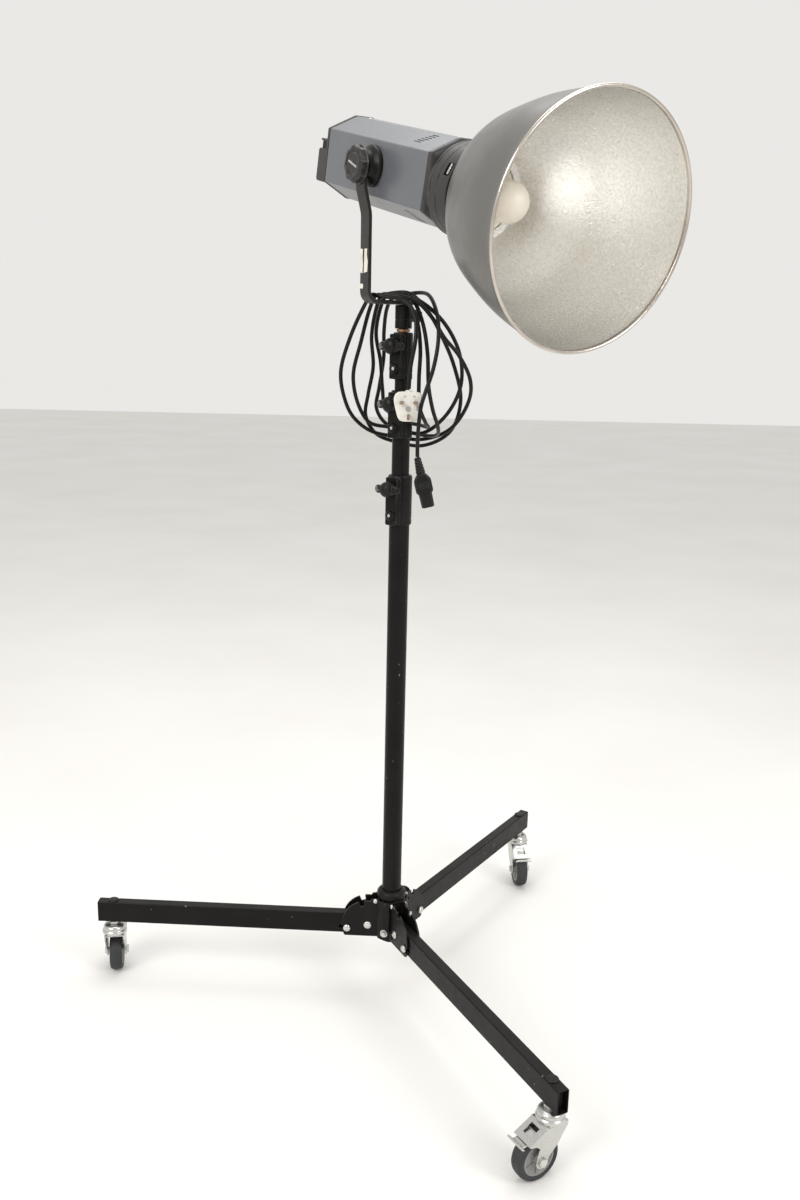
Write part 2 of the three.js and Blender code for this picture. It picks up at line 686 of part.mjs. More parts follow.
function glassDome() {
  const wall = 2;
  const outer = arcPoints(0, DOME_AT, DOME_R, 0, 90, 6);
  const inner = arcPoints(0, DOME_AT, DOME_R - wall, 90, 0, 6);
  outer[6][0] = 0;
  inner[0][0] = 0;
  const profile = [[DOME_R, 160.6], ...outer, ...inner, [DOME_R - wall, 160.6]];
  const points = profile.map(([r, x]) => new THREE.Vector2(r, x));
  points.push(points[0].clone());
  const shell = new THREE.LatheGeometry(points, 24).rotateX(Math.PI / 2);
  return placed(shell, [0, 0, 0], [0, 90, 0]);
}

// Deep dish of even wall, with a neck that sits in the collar and a rolled rim.
function reflector() {
  const outer = [
    [56, COLLAR_FRONT - 9], [56, COLLAR_FRONT + 1], [65, COLLAR_FRONT + 1.5], [69, 219],
    [85, 243], [105, 269], [124, 297], [140, 340], [155, 392], [RIM_R - 2.6, 454],
  ];
  const rim = arcPoints(RIM_R - 2.2, RIM_AT - 2.6, 2.6, -50, 200, 5);
  const inner = offsetLine(outer, DISH_WALL).reverse();
  inner[inner.length - 1] = [56 - DISH_WALL * 1.4, COLLAR_FRONT - 9];
  return placed(turned([...outer, ...rim, ...inner], 36), [0, 0, 0], [0, 90, 0]);
}

function tiltBoss() {
  const face = -BODY_HALF - GAP;
  const arm = -ARM_HIGH + FOOT / 2 + GAP;
  const disc = placed(turned([
    [5.4, -face], [BOSS_R, -face], [BOSS_R, -face + 5], [BOSS_R - 3, -face + 8],
    [22, -arm - 2], [20, -arm], [5.4, -arm],
  ], 28), [0, 0, TILT_ABOVE_AXIS], [90, 0, 0]);
  return disc;
}

function capacitorBank() {
  const cans = [[-72, 24], [-72, -24], [-18, 24], [-18, -24]].map(
    ([x, y]) => placed(rod(20, -40, 36, 16), [x, y, 0]));
  return join(box(-95, 5, -40, 40, -43, -39), ...cans);
}

function circuitBoard() {
  const board = box(-118, 60, -48, 48, 42, 43.6);
  const parts = [
    box(24, 44, -30, -6, 43, 50), box(-10, 8, 12, 30, 43, 52), box(-60, -34, -30, -10, 43, 54),
    box(-104, -84, -10, 14, 43, 49), box(40, 56, 10, 32, 43, 48),
  ];
  return join(board, ...parts);
}

function coolingFan() {
  const hub = rodAlongX(13, 92, 104, [0, 0], 20);
  const blades = Array.from({ length: 7 }, (_, i) => {
    const blade = new THREE.BoxGeometry(9, 24, 1.6);
    blade.rotateY(rad(32)).translate(98, 23, 0).rotateX((i * 2 * Math.PI) / 7);
    return solid(blade);
  });
  return join(hub, ...blades);
}

// ---------------------------------------------------------------- mains lead
// Positions about the mast axis. Each turn starts on the yoke foot, drops on the far left
// side, passes behind the mast and climbs on the right.
const PLUG_TAIL = [
  [11, -76, 1126.5], [13, -75, 1160], [20, -72, 1205], [18, -61, 1240], [2, -48, 1263],
];
const LEAD_TURNS = [
  [
    [-38, -38, 1270], [-53, -25, 1272], [-63, -8, 1258], [-88, 9, 1204], [-104, 24, 1146],
    [-97, 31, 1101], [-83, 37, 1072], [-54, 48, 1048], [-12, 58, 1038], [36, 56, 1034],
    [84, 26, 1056], [112, -4, 1106], [112, -20, 1140], [91, -35, 1180], [66, -43, 1208],
    [46, -46, 1238], [18, -42, 1264],
  ],
  [
    [-34, -28, 1272], [-46, -12, 1271], [-56, 6, 1251], [-70, 15, 1198], [-83, 26, 1140],
    [-73, 34, 1090], [-54, 42, 1062], [-14, 50, 1054], [34, 38, 1046], [74, 14, 1078],
    [97, -6, 1128], [95, -12, 1176], [74, -26, 1220], [46, -33, 1250], [14, -32, 1269],
  ],
  [
    [-26, -19, 1274], [-37, -2, 1272], [-46, 16, 1250], [-53, 30, 1207], [-50, 42, 1156],
    [-58, 46, 1110], [-62, 50, 1074], [-44, 62, 1042], [-8, 72, 1027], [38, 70, 1022],
    [84, 40, 1050], [99, 14, 1104], [86, 0, 1160], [64, -14, 1208], [38, -21, 1250],
    [10, -22, 1275],
  ],
  [
    [-18, -10, 1276], [-30, 7, 1272], [-39, 24, 1252], [-46, 46, 1210], [-38, 54, 1165],
    [-34, 58, 1120], [-28, 60, 1086], [0, 56, 1066], [32, 38, 1060], [45, 4, 1060],
    [40, -34, 1070], [29, -59, 1098], [27, -64, 1140], [28, -63, 1190], [22, -51, 1232],
    [10, -34, 1257],
  ],
  [
    [-5, -13, 1272], [-18, 8, 1269], [-28, 32, 1253], [-33, 60, 1215], [-33, 70, 1170],
    [-40, 70, 1120], [-44, 64, 1086], [-28, 66, 1060], [2, 64, 1048], [38, 48, 1042],
    [60, 12, 1046], [61, -22, 1062], [51, -45, 1092], [43, -58, 1130], [40, -61, 1180],
    [34, -54, 1218], [26, -40, 1244], [16, -22, 1263.5], [4, -5, 1272.5],
  ],
];
const CONNECTOR_TAIL = [
  [-3, 9, 1272], [-2, 20, 1274], [6, 29, 1276], [19, 28, 1278], [31, 14, 1278], [40, -8, 1274],
  [48, -32, 1261], [55, -54, 1236], [56, -69, 1200], [49, -79, 1158], [38, -89, 1124],
  [31, -93, 1100], [28, -92, 1070], [27, -84, 1042], [27.3, -80, 1019],
];

function leadPoints() {
  const route = [...PLUG_TAIL, ...LEAD_TURNS.flat(), ...CONNECTOR_TAIL];
  return route.map(([x, y, z]) => new THREE.Vector3(x, y, z));
}

// Smooth line through the hand-set points, read more closely where it bends.
class LeadLine extends THREE.Curve {
  constructor(points) {
    super();
    this.line = new THREE.CatmullRomCurve3(points, false, 'centripetal');
    this.line.arcLengthDivisions = LEAD_SAMPLES;
    this.effort = [0];
    const stride = this.line.getLength() / LEAD_SAMPLES;
    let last = this.line.getTangentAt(0);
    for (let i = 1; i <= LEAD_SAMPLES; i += 1) {
      const next = this.line.getTangentAt(i / LEAD_SAMPLES);
      const sum = this.effort[i - 1] + stride / LEAD_STRAIGHT + last.angleTo(next);
      this.effort.push(sum);
      last = next;
    }
  }

  getUtoTmapping(u) {
    return u;
  }

  getPoint(t) {
    const wanted = t * this.effort[LEAD_SAMPLES];
    let i = this.effort.findIndex((value) => value >= wanted);
    i = Math.max(i, 1);
    const [before, after] = [this.effort[i - 1], this.effort[i]];
    const along = (i - 1 + (wanted - before) / (after - before)) / LEAD_SAMPLES;
    return this.line.getPointAt(Math.min(Math.max(along, 0), 1));
  }
}

function mainsLead() {
  const curve = new LeadLine(leadPoints());
  const section = shapeOf(
    arcPoints(0, 0, LEAD_R, 0, 360 - 360 / LEAD_SIDES, LEAD_SIDES - 1));
  return solid(new THREE.ExtrudeGeometry(
    section, { steps: LEAD_STEPS, extrudePath: curve, bevelEnabled: false }));
}

// Three-pin plug, hanging lead up, pins towards -Y.
const PLUG = { x: 11, top: 1122.5, back: -67, face: -86 };

function mainsPlug() {
  const { x, top, back, face } = PLUG;
  const outline = [
    [x - 20, top], [x + 20, top], [x + 25, top - 7], [x + 25, top - 20], [x + 18, top - 42],
    [x + 13, top - 49], [x + 6, top - 51.5], [x - 6, top - 51.5], [x - 13, top - 49],
    [x - 18, top - 42], [x - 25, top - 20], [x - 25, top - 7],
  ];
  const body = slabXZ(outline, face, back);
  const relief = placed(rod(5.5, top - 1, top + 3.2, 20), [x, PLUG_TAIL[0][1], 0]);
  return join(body, relief, ...plugPins());
}

function plugPins() {
  const { x, top, face } = PLUG;
  const pins = [
    { y: 17.7, dx: -11.1, dz: -17, w: 3.2, h: 2 },
    { y: 17.7, dx: 11.1, dz: -17, w: 3.2, h: 2 },
    { y: 22.7, dx: 0, dz: -39.2, w: 2, h: 4 },
  ];
  return pins.map(({ y, dx, dz, w, h }) => box(
    x + dx - w, x + dx + w, face - y, face + 5, top + dz - h, top + dz + h));
}

// Moulded inlet connector at the other end, hanging below its strain relief, along -Z.
function inletConnector() {
  const relief = placed(turned([
    [0, -26], [7.5, -26], [7, -14], [5, -4], [4.6, 0], [0, 0],
  ], 16));
  const neck = box(-9, 9, -8, 8, -52, -24);
  const head = box(-13, 13, -8.6, 8.6, -82, -50);
  const slots = [[-7, 2.5], [7, 2.5], [0, -2.5]].map(
    ([x, y]) => box(x - 1.5, x + 1.5, y - 2.2, y + 2.2, -83, -66));
  return cut(join(relief, neck, head), ...slots);
}

// ---------------------------------------------------------------- assembly
function pivotPoint(azimuth) {
  return [PIVOT_RADIUS * Math.cos(rad(azimuth)), PIVOT_RADIUS * Math.sin(rad(azimuth)), LEG_MID];
}

function buildLeg(key) {
  const azimuth = LEG_AZIMUTHS[key];
  const leg = group(`leg_${key}`, pivotPoint(azimuth), [0, 0, azimuth]);
  leg.add(mesh(`leg_tube_${key}`, legTube(), BLACK_STEEL));
  leg.add(mesh(`caster_stem_${key}`, movedX(casterStem(), STEM_RADIUS - PIVOT_RADIUS), BLACK_STEEL));
  const pin = group(`lock_pin_${key}`, [0, 0, 0]);
  pin.add(mesh(`lock_pin_${key}`, lockPin(), ZINC));
  leg.add(pin);
  leg.add(buildCaster(key, azimuth));
  return leg;
}

function movedX(shape, x) {
  return solid(geometryOf(shape).translate(x, 0, 0));
}

function buildCaster(key, legAzimuth) {
  const at = [STEM_RADIUS - PIVOT_RADIUS, 0, -LEG_MID];
  const caster = group(`caster_${key}`, at, [0, 0, CASTER_AZIMUTHS[key] - legAzimuth]);
  caster.add(mesh(`caster_fork_${key}`, casterFork(), ZINC));
  const wheel = group(`wheel_${key}`, [TRAIL, 0, WHEEL_R]);
  wheel.add(mesh(`tyre_${key}`, tyre(), RUBBER));
  wheel.add(mesh(`wheel_hub_${key}`, wheelHub(), GREY_PLASTIC));
  const brake = group(`brake_${key}`, [BRAKE_PIVOT.x, 0, BRAKE_PIVOT.z]);
  brake.add(mesh(`brake_pedal_${key}`, brakePedal(), ZINC));
  caster.add(wheel, brake);
  return caster;
}

function clampParts(level, name, knobName) {
  const turned234 = group(`${name}_frame`, [0, 0, CLAMP_Z[level][0]], [0, 0, CLAMP_AZIMUTH]);
  turned234.add(mesh(name, clamp(level), BLACK_STEEL));
  const height = CLAMP_Z[level][1] - CLAMP_Z[level][0];
  const knob = group(knobName, [0, 0, height - KNOB_DROP]);
  knob.add(mesh(knobName, clampKnob(level), BLACK_PLASTIC));
  turned234.add(knob);
  return turned234;
}

function movable(name, shape, material, at = [0, 0, 0], turn = [0, 0, 0]) {
  const frame = group(name, at, turn);
  frame.add(mesh(name, shape, material));
  return frame;
}

function buildHead() {
  const core = group('head_core', [0, 0, -TILT_ABOVE_AXIS]);
  core.add(mesh('housing_shell', housingShell(), HOUSING_PAINT));
  core.add(mesh('rear_panel', rearPanel(), DARK_CASTING));
  core.add(mesh('front_bezel', finishedBezel(), DARK_CASTING));
  core.add(mesh('tilt_boss', tiltBoss(), BLACK_PLASTIC));
  core.add(mesh('lamp_carrier', lampCarrier(), DARK_CASTING));
  core.add(mesh('flash_tube', flashTube(), CLEAR_GLASS));
  core.add(mesh('modelling_lamp', modellingLamp(), CLEAR_GLASS));
  core.add(mesh('glass_dome', glassDome(), FROSTED));
  core.add(mesh('capacitor_bank', capacitorBank(), CAPACITOR_BLUE));
  core.add(mesh('circuit_board', circuitBoard(), BOARD_GREEN));
  core.add(mesh('mains_inlet', mainsInlet(), BLACK_PLASTIC));
  core.add(movable('reflector', reflector(), DISH_METAL));
  core.add(movable('release_latch', releaseLatch(), ZINC));
  core.add(movable('power_dial', dial(), BLACK_PLASTIC, [0, -12, -12]));
  core.add(movable('lamp_dial', dial(), BLACK_PLASTIC, [0, 12, -12]));
  core.add(movable('test_button', testButton(), BLACK_PLASTIC));
  core.add(movable('fan_rotor', coolingFan(), BLACK_PLASTIC));
  const rockerAt = [BODY_BACK - GAP - 25, 34, -21];
  core.add(movable('rocker_switch', rockerSwitch(), BLACK_PLASTIC, rockerAt, [0, 90, 0]));
  const head = group('head', [0, 0, TILT_Z], [0, HEAD_TILT, 0]);
  head.add(core);
  return head;
}

function buildLead() {
  const lead = group('lead', [0, 0, 0], [0, 0, -HEAD_AZIMUTH]);
  lead.add(mesh('mains_lead', mainsLead(), BLACK_PLASTIC));
  lead.add(mesh('mains_plug', mainsPlug(), WHITE_PLASTIC));
  const end = CONNECTOR_TAIL[CONNECTOR_TAIL.length - 1];
  const socket = group('inlet_connector', [end[0], end[1], end[2] - 2], [0, -14, 0]);
  socket.add(mesh('inlet_connector', inletConnector(), BLACK_PLASTIC));
  lead.add(socket);
  return lead;
}

function buildYoke() {
  const yoke = group('yoke', [0, 0, 0], [0, 0, HEAD_AZIMUTH]);
  yoke.add(mesh('yoke_arm', yokeArm(), BLACK_STEEL));
  yoke.add(mesh('spigot_adaptor', spigotAdaptor(), BLACK_STEEL));
  yoke.add(movable('adaptor_knob', adaptorKnob(), BLACK_PLASTIC, [0, 0, 1241]));
  yoke.add(movable('tilt_knob', tiltKnob(), BLACK_PLASTIC, [0, 0, TILT_Z]));
  yoke.add(buildHead(), buildLead());
  return yoke;
}

function buildMast() {
  const middle = group('mast_middle', [0, 0, 0]);
  const middleTube = mastTube(TUBE_RADII[1], CLAMP_Z[0][0] - 600, CLAMP_Z[1][0] + 44);
  middle.add(mesh('mast_tube_middle', middleTube, BLACK_STEEL));
  middle.add(clampParts(1, 'clamp_middle', 'clamp_knob_middle'));
  const top = group('mast_top', [0, 0, 0]);
  const topTube = mastTube(TUBE_RADII[2], CLAMP_Z[1][0] - 560, CLAMP_Z[2][0] + 41);
  top.add(mesh('mast_tube_top', topTube, BLACK_STEEL));
  top.add(clampParts(2, 'clamp_top', 'clamp_knob_top'));
  top.add(mesh('spigot', spigot(), BRASS));
  top.add(buildYoke());
  middle.add(top);
  return middle;
}

function buildStand() {
  const stand = group('stand', [0, 0, 0]);
  stand.add(mesh('main_tube', mastTube(TUBE_RADII[0], 104, CLAMP_Z[0][0] + 50), BLACK_STEEL));
  stand.add(mesh('hub_sleeve', hubSleeve(), BLACK_STEEL));
  for (const [key, azimuth] of Object.entries(LEG_AZIMUTHS)) {
    const bracket = group(`bracket_${key}`, pivotPoint(azimuth), [0, 0, azimuth]);
    bracket.add(mesh(`leg_bracket_${key}`, legBracket(), BLACK_STEEL));
    stand.add(bracket, buildLeg(key));
  }
  stand.add(clampParts(0, 'clamp_lower', 'clamp_knob_lower'));
  stand.add(buildMast());
  return stand;
}

const LEAD_NODES = ['mains_lead', 'mains_plug', 'inlet_connector'];

// The stand moved so that the box of everything but the lead is centred on the origin.
function centred(stand) {
  const model = new THREE.Group();
  model.name = 'studio_flash';
  model.add(stand);
  model.updateMatrixWorld(true);
  const bounds = new THREE.Box3();
  model.traverse((item) => {
    if (item.isMesh && !LEAD_NODES.includes(item.name)) {
      bounds.union(new THREE.Box3().setFromObject(item, true));
    }
  });
  const middle = bounds.getCenter(new THREE.Vector3());
  stand.position.set(-middle.x, -middle.y, -bounds.min.z);
  model.updateMatrixWorld(true);
  return model;
}

export default centred(buildStand());
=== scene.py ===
# Looks for the studio flash head on its wheeled stand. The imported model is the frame. Pieces
# are drawn in millimetres in the local frames of the part, and stored in metres.
import math

import bmesh
import bpy
from mathutils import Matrix, Vector


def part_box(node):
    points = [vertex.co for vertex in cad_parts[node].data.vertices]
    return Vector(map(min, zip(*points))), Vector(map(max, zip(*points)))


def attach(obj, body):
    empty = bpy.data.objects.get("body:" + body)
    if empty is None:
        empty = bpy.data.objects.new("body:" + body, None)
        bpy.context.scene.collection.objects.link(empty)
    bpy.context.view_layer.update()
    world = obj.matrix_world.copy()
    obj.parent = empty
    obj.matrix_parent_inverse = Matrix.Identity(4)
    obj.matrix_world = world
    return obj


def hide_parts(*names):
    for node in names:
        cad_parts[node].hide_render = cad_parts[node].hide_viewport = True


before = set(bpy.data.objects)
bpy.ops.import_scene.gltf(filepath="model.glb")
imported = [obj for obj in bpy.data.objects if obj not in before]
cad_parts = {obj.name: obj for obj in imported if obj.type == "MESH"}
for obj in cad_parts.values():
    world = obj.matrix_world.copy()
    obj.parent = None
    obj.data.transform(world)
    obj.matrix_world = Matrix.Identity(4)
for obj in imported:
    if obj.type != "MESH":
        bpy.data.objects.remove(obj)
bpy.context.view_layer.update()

# ------------------------------------------------------------------ dimensions, millimetres
MM = 0.001
LEG_AZIMUTHS = {"a": 177.5, "b": 57.5, "c": -62.5}
CASTER_AZIMUTHS = {"a": 100, "b": -82, "c": -148}
PIVOT_RADIUS = 43
LEG_MID = 136
STEM_RADIUS = 527
LEG_START = -7
LEG_LENGTH = 512
PIN_AT = (38.5, -7)
TRAIL = 26
WHEEL_R = 37.5
FORK_TOP = 92
FORK_HALF = 16
SHEET = 2.2
BRAKE_PIVOT = (44, 76.5)
TUBE_RADII = (17.5, 15, 12.5)
CLAMP_Z = ((894, 979), (1041, 1120), (1138, 1214))
CLAMP_RADII = (20, 17.6, 16)
CLAMP_AZIMUTH = 234
KNOB_DROP = 22
SPIGOT_R = 8
HEAD_AZIMUTH = -56.4
HEAD_TILT = 13.3
TILT_Z = 1466
TILT_ABOVE_AXIS = 6
ARM_LOW = 74
ARM_HIGH = 84
FOOT = 6.5
BAR_WIDTH = 25
BODY_BACK = -147
BODY_FRONT = 148
COLLAR_FRONT = 213
LATCH_ANGLE = 25
RIM_AT = 461.5
RIM_FROM = 454.5
RIM_R = 168
LEAD_R = 3.25
SHARP_ANGLE = 32                        # degrees, between flat faces
CAD_EDGE_ANGLE = 40


# ------------------------------------------------------------------ local frames
def move(x, y, z):
    return Matrix.Translation(Vector((x, y, z)) * MM)


def turn(degrees, axis="Z"):
    return Matrix.Rotation(math.radians(degrees), 4, axis)


def mast_frame():
    """The mast axis on the floor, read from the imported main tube."""
    low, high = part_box("main_tube")
    return Matrix.Translation(Vector(((low.x + high.x) / 2, (low.y + high.y) / 2, 0)))


MAST = mast_frame()
LEG = {k: MAST @ turn(a) @ move(PIVOT_RADIUS, 0, LEG_MID) for k, a in LEG_AZIMUTHS.items()}
CASTER = {
    k: MAST @ turn(a) @ move(STEM_RADIUS, 0, 0) @ turn(CASTER_AZIMUTHS[k] - a)
    for k, a in LEG_AZIMUTHS.items()
}
CLAMP = [MAST @ move(0, 0, z[0]) @ turn(CLAMP_AZIMUTH) for z in CLAMP_Z]
YOKE = MAST @ turn(HEAD_AZIMUTH)
TILT = YOKE @ move(0, 0, TILT_Z)
HEAD = TILT @ turn(HEAD_TILT, "Y") @ move(0, 0, -TILT_ABOVE_AXIS)


# ------------------------------------------------------------------ node materials
EVEN = (0.3, 0.7)                       # the part of a noise's range that is used
DUST = (0.42, 0.4, 0.37)


class Finish:
    """A procedural material: its node tree, its shader and its object coordinates."""

    def __init__(self, name):
        self.material = bpy.data.materials.new(name)
        self.material.use_nodes = True
        self.tree = self.material.node_tree
        self.shader = self.tree.nodes["Principled BSDF"]
        self.vector = self.coords()

    def fill(self, node, **sockets):
        """A link or a plain value on each socket; an underscore stands for a space."""
        for name, value in sockets.items():
            socket = node.inputs[name.replace("_", " ")]
            if isinstance(value, bpy.types.NodeSocket):
                self.tree.links.new(value, socket)
            else:
                socket.default_value = value
        return node

    def node(self, kind, **sockets):
        return self.fill(self.tree.nodes.new("ShaderNode" + kind), **sockets)

    def combine(self, kind, operation, first, second):
        node = self.node(kind)
        node.operation = operation
        self.tree.links.new(first, node.inputs[0])
        self.tree.links.new(second, node.inputs[1])
        return node.outputs["Value"]

    def coords(self, stretch=(1, 1, 1)):
        source = self.node("TexCoord").outputs["Object"]
        return self.node("Mapping", Vector=source, Scale=stretch).outputs["Vector"]

    def noise(self, scale, detail, distortion=0.0, vector=None):
        vector = vector or self.vector
        node = self.node("TexNoise", Vector=vector, Scale=scale, Detail=detail, Distortion=distortion)
        return node.outputs["Fac"]

    def cells(self, scale):
        """Distance from the centres of small cells."""
        return self.node("TexVoronoi", Vector=self.vector, Scale=scale).outputs["Distance"]

    def span(self, value, limits, out):
        node = self.node(
            "MapRange", Value=value, From_Min=limits[0], From_Max=limits[1], To_Min=out[0],
            To_Max=out[1])
        return node.outputs["Result"]

    def patches(self, scale, detail, limits, out, distortion=0.0, vector=None):
        """Noise stretched between limits, for marks, wear and gloss."""
        return self.span(self.noise(scale, detail, distortion, vector), limits, out)

    def mottled(self, scale, detail, *stops):
        """Colours spread over noise, each stop a place and a colour."""
        node = self.node("ValToRGB", Fac=self.noise(scale, detail))
        elements = node.color_ramp.elements
        while len(elements) < len(stops):
            elements.new(0.5)
        for element, (at, colour) in zip(elements, stops):
            element.position = at
            element.color = (*colour, 1)
        return node.outputs["Color"]

    def over(self, colour, factor, mark):
        """A plain colour laid over another by a factor."""
        node = self.node("Mix", Factor=factor)
        node.data_type = "RGBA"
        self.tree.links.new(colour, node.inputs[6])
        node.inputs[7].default_value = (*mark, 1)
        return node.outputs[2]

    def worn(self, colour, bare, scale=60, strength=1):
        """Bare patches where the surface turns sharply within a millimetre."""
        soft = self.node("Bevel", Radius=MM)
        soft.samples = 4
        flat = self.node("NewGeometry").outputs["Normal"]
        match = self.combine("VectorMath", "DOT_PRODUCT", soft.outputs["Normal"], flat)
        edges = self.span(match, (0.99, 0.85), (0, 1))
        patches = self.patches(scale, 6, (0.4, 0.6), (0, strength))
        return self.over(colour, self.combine("Math", "MULTIPLY", edges, patches), bare)

    def dusty(self, colour, strength, dust=DUST):
        """Faces that look up hold more dust, in soft patches."""
        normal = self.node("NewGeometry").outputs["Normal"]
        height = self.node("SeparateXYZ", Vector=normal).outputs["Z"]
        upward = self.span(height, (0.3, 1.0), (0, strength))
        patches = self.patches(14, 6, (0.35, 0.7), (0.3, 1))
        return self.over(colour, self.combine("Math", "MULTIPLY", upward, patches), dust)

    def bump(self, height, distance, strength=1.0, before=None):
        """Relief on the shader's normal, over any relief made before."""
        node = self.node("Bump", Height=height, Distance=distance, Strength=strength)
        if before is not None:
            self.fill(node, Normal=before)
        self.fill(self.shader, Normal=node.outputs["Normal"])
        return node.outputs["Normal"]

    def dress(self, colour, gloss, **values):
        self.fill(self.shader, Base_Color=colour, Roughness=gloss, **values)


def surface(
    name, dark, light, mottle=8, grain=700, rough=(0.4, 0.55), metallic=0.0, relief=0.00006,
    worn=None, dust=0.0, coat=0.0, specular=0.5,
):
    """A finish with soft mottling, fine grain in its relief and gloss, worn edges and dust."""
    finish = Finish(name)
    colour = finish.mottled(mottle, 8, (0.3, dark), (0.7, light))
    if worn:
        colour = finish.worn(colour, worn)
    if dust:
        colour = finish.dusty(colour, dust)
    finish.dress(
        colour, finish.patches(mottle * 6, 6, EVEN, rough), Metallic=metallic, Coat_Weight=coat,
        Coat_Roughness=0.25, Specular_IOR_Level=specular)
    finish.bump(finish.noise(grain, 3), relief)
    return finish.material


def scratched_steel():
    """Black powder coat with long fine scratches and a few bare chips."""
    steel = Finish("black_steel")
    long_way = steel.coords((3, 40, 40))
    colour = steel.mottled(9, 8, (0.3, (0.003, 0.003, 0.003)), (0.7, (0.008, 0.0075, 0.007)))
    scratches = steel.patches(22, 2, (0.72, 0.76), (0, 0.4), 1.5, long_way)
    colour = steel.over(colour, scratches, (0.08, 0.075, 0.07))
    chips = steel.patches(120, 5, (0.72, 0.75), (0, 0.8))
    colour = steel.over(colour, chips, (0.3, 0.3, 0.29))
    colour = steel.dusty(colour, 0.05, (0.2, 0.18, 0.16))
    steel.dress(colour, steel.patches(55, 6, EVEN, (0.28, 0.42)), Specular_IOR_Level=0.14)
    steel.bump(steel.noise(900, 3), 0.00005)
    return steel.material


def hammered_paint():
    """Light blue-grey hammer finish with shallow dimples."""
    enamel = Finish("housing_paint")
    colour = enamel.mottled(11, 8, (0.3, (0.125, 0.131, 0.146)), (0.7, (0.14, 0.146, 0.16)))
    marks = enamel.patches(70, 6, (0.7, 0.76), (0, 0.3), 2)
    colour = enamel.over(colour, marks, (0.06, 0.062, 0.07))
    colour = enamel.worn(colour, (0.4, 0.41, 0.43), 40, 0.6)
    enamel.dress(
        colour, enamel.patches(60, 6, EVEN, (0.3, 0.35)), Metallic=0.2, Coat_Weight=0.3,
        Coat_Roughness=0.18)
    enamel.bump(enamel.cells(420), 0.00002, 0.5)
    return enamel.material


def stippled_silver():
    """Inside of the dish: silver with a dense stipple that scatters the light."""
    silver = Finish("dish_inside")
    colour = silver.mottled(
        260, 4, (0.3, (0.73, 0.71, 0.67)), (0.55, (0.84, 0.83, 0.8)), (0.75, (0.91, 0.905, 0.89)))
    silver.dress(colour, silver.patches(90, 5, EVEN, (0.27, 0.33)), Metallic=0.9)
    stipple = silver.bump(silver.cells(420), 0.0007, 0.5)
    silver.bump(silver.noise(700, 3), 0.0003, 0.4, stipple)
    return silver.material


def zinc():
    """Bright zinc plate with drawn streaks and faint passivation colour."""
    plate = Finish("zinc_plate")
    streaks = plate.coords((1, 1, 7))
    colour = plate.mottled(
        14, 3, (0.3, (0.5, 0.5, 0.48)), (0.6, (0.56, 0.56, 0.54)), (0.8, (0.53, 0.525, 0.49)))
    dull = plate.patches(40, 3, (0.62, 0.74), (0, 0.15))
    colour = plate.over(colour, dull, (0.3, 0.29, 0.27))
    gloss = plate.patches(60, 3, EVEN, (0.24, 0.3), vector=streaks)
    plate.dress(colour, gloss, Metallic=0.95)
    plate.bump(plate.noise(120, 2, vector=streaks), 0.00001)
    return plate.material


def frosted():
    """Warm frosted glass that lets a little light through."""
    glass = Finish("frosted_glass")
    colour = glass.mottled(18, 5, (0.3, (0.8, 0.72, 0.6)), (0.7, (0.9, 0.84, 0.74)))
    glass.dress(
        colour, glass.patches(60, 4, EVEN, (0.4, 0.55)), Transmission_Weight=0.12,
        Subsurface_Weight=0.25, Subsurface_Radius=(0.01, 0.008, 0.006))
    glass.bump(glass.noise(1500, 2), 0.00004)
    return glass.material


def clear_glass():
    """Clear quartz with faint drawn unevenness."""
    glass = Finish("clear_glass")
    colour = glass.mottled(30, 4, (0.3, (0.86, 0.9, 0.9)), (0.7, (0.96, 0.97, 0.97)))
    glass.dress(colour, glass.patches(80, 4, EVEN, (0.03, 0.1)), Transmission_Weight=0.9)
    glass.bump(glass.noise(200, 2), 0.00005)
    return glass.material


STEEL = scratched_steel()
HOUSING = hammered_paint()
DISH_INSIDE = stippled_silver()
ZINC = zinc()
FROSTED = frosted()
GLASS = clear_glass()
CASTING = surface(
    "black_casting", (0.004, 0.004, 0.004), (0.009, 0.0085, 0.008), 14, 500, (0.28, 0.42),
    relief=0.00012, worn=(0.12, 0.115, 0.11), dust=0.02, specular=0.15)
BRONZE = surface(
    "bronze_paint", (0.018, 0.016, 0.0145), (0.034, 0.03, 0.027), 10, 600, (0.26, 0.4),
    worn=(0.4, 0.37, 0.33), dust=0.04, specular=0.4)
TREAD = surface(
    "tyre", (0.022, 0.023, 0.025), (0.04, 0.041, 0.044), 16, 420, (0.5, 0.7),
    relief=0.00015, dust=0.12, specular=0.3)
GREY_PLASTIC = surface(
    "grey_plastic", (0.19, 0.19, 0.185), (0.26, 0.26, 0.25), 20, 500, (0.35, 0.5), dust=0.15)
BLACK_PLASTIC = surface(
    "black_plastic", (0.005, 0.005, 0.005), (0.011, 0.0105, 0.01), 20, 800, (0.28, 0.42),
    relief=0.00008, worn=(0.1, 0.1, 0.1), dust=0.02, specular=0.2)
KNOB_PLASTIC = surface(
    "knob_plastic", (0.009, 0.0085, 0.008), (0.018, 0.017, 0.016), 22, 650, (0.26, 0.38),
    relief=0.00009, worn=(0.2, 0.19, 0.18), dust=0.05, specular=0.45)
# Painted highlight: light grey with lighter worn edges, for the shine on one wing tip.
WING_TIP_HIGHLIGHT = surface(
    "wing_tip_painted_highlight", (0.1, 0.1, 0.1), (0.2, 0.2, 0.195), 30, 600, (0.3, 0.45),
    relief=0.0001, worn=(0.4, 0.4, 0.38))
WHITE_PLASTIC = surface(
    "white_plastic", (0.72, 0.69, 0.63), (0.8, 0.78, 0.73), 15, 900, (0.25, 0.4),
    relief=0.00003, coat=0.15)
GREY_MARK = surface("moulded_mark", (0.35, 0.34, 0.32), (0.45, 0.44, 0.42), 60, 900, (0.4, 0.5))
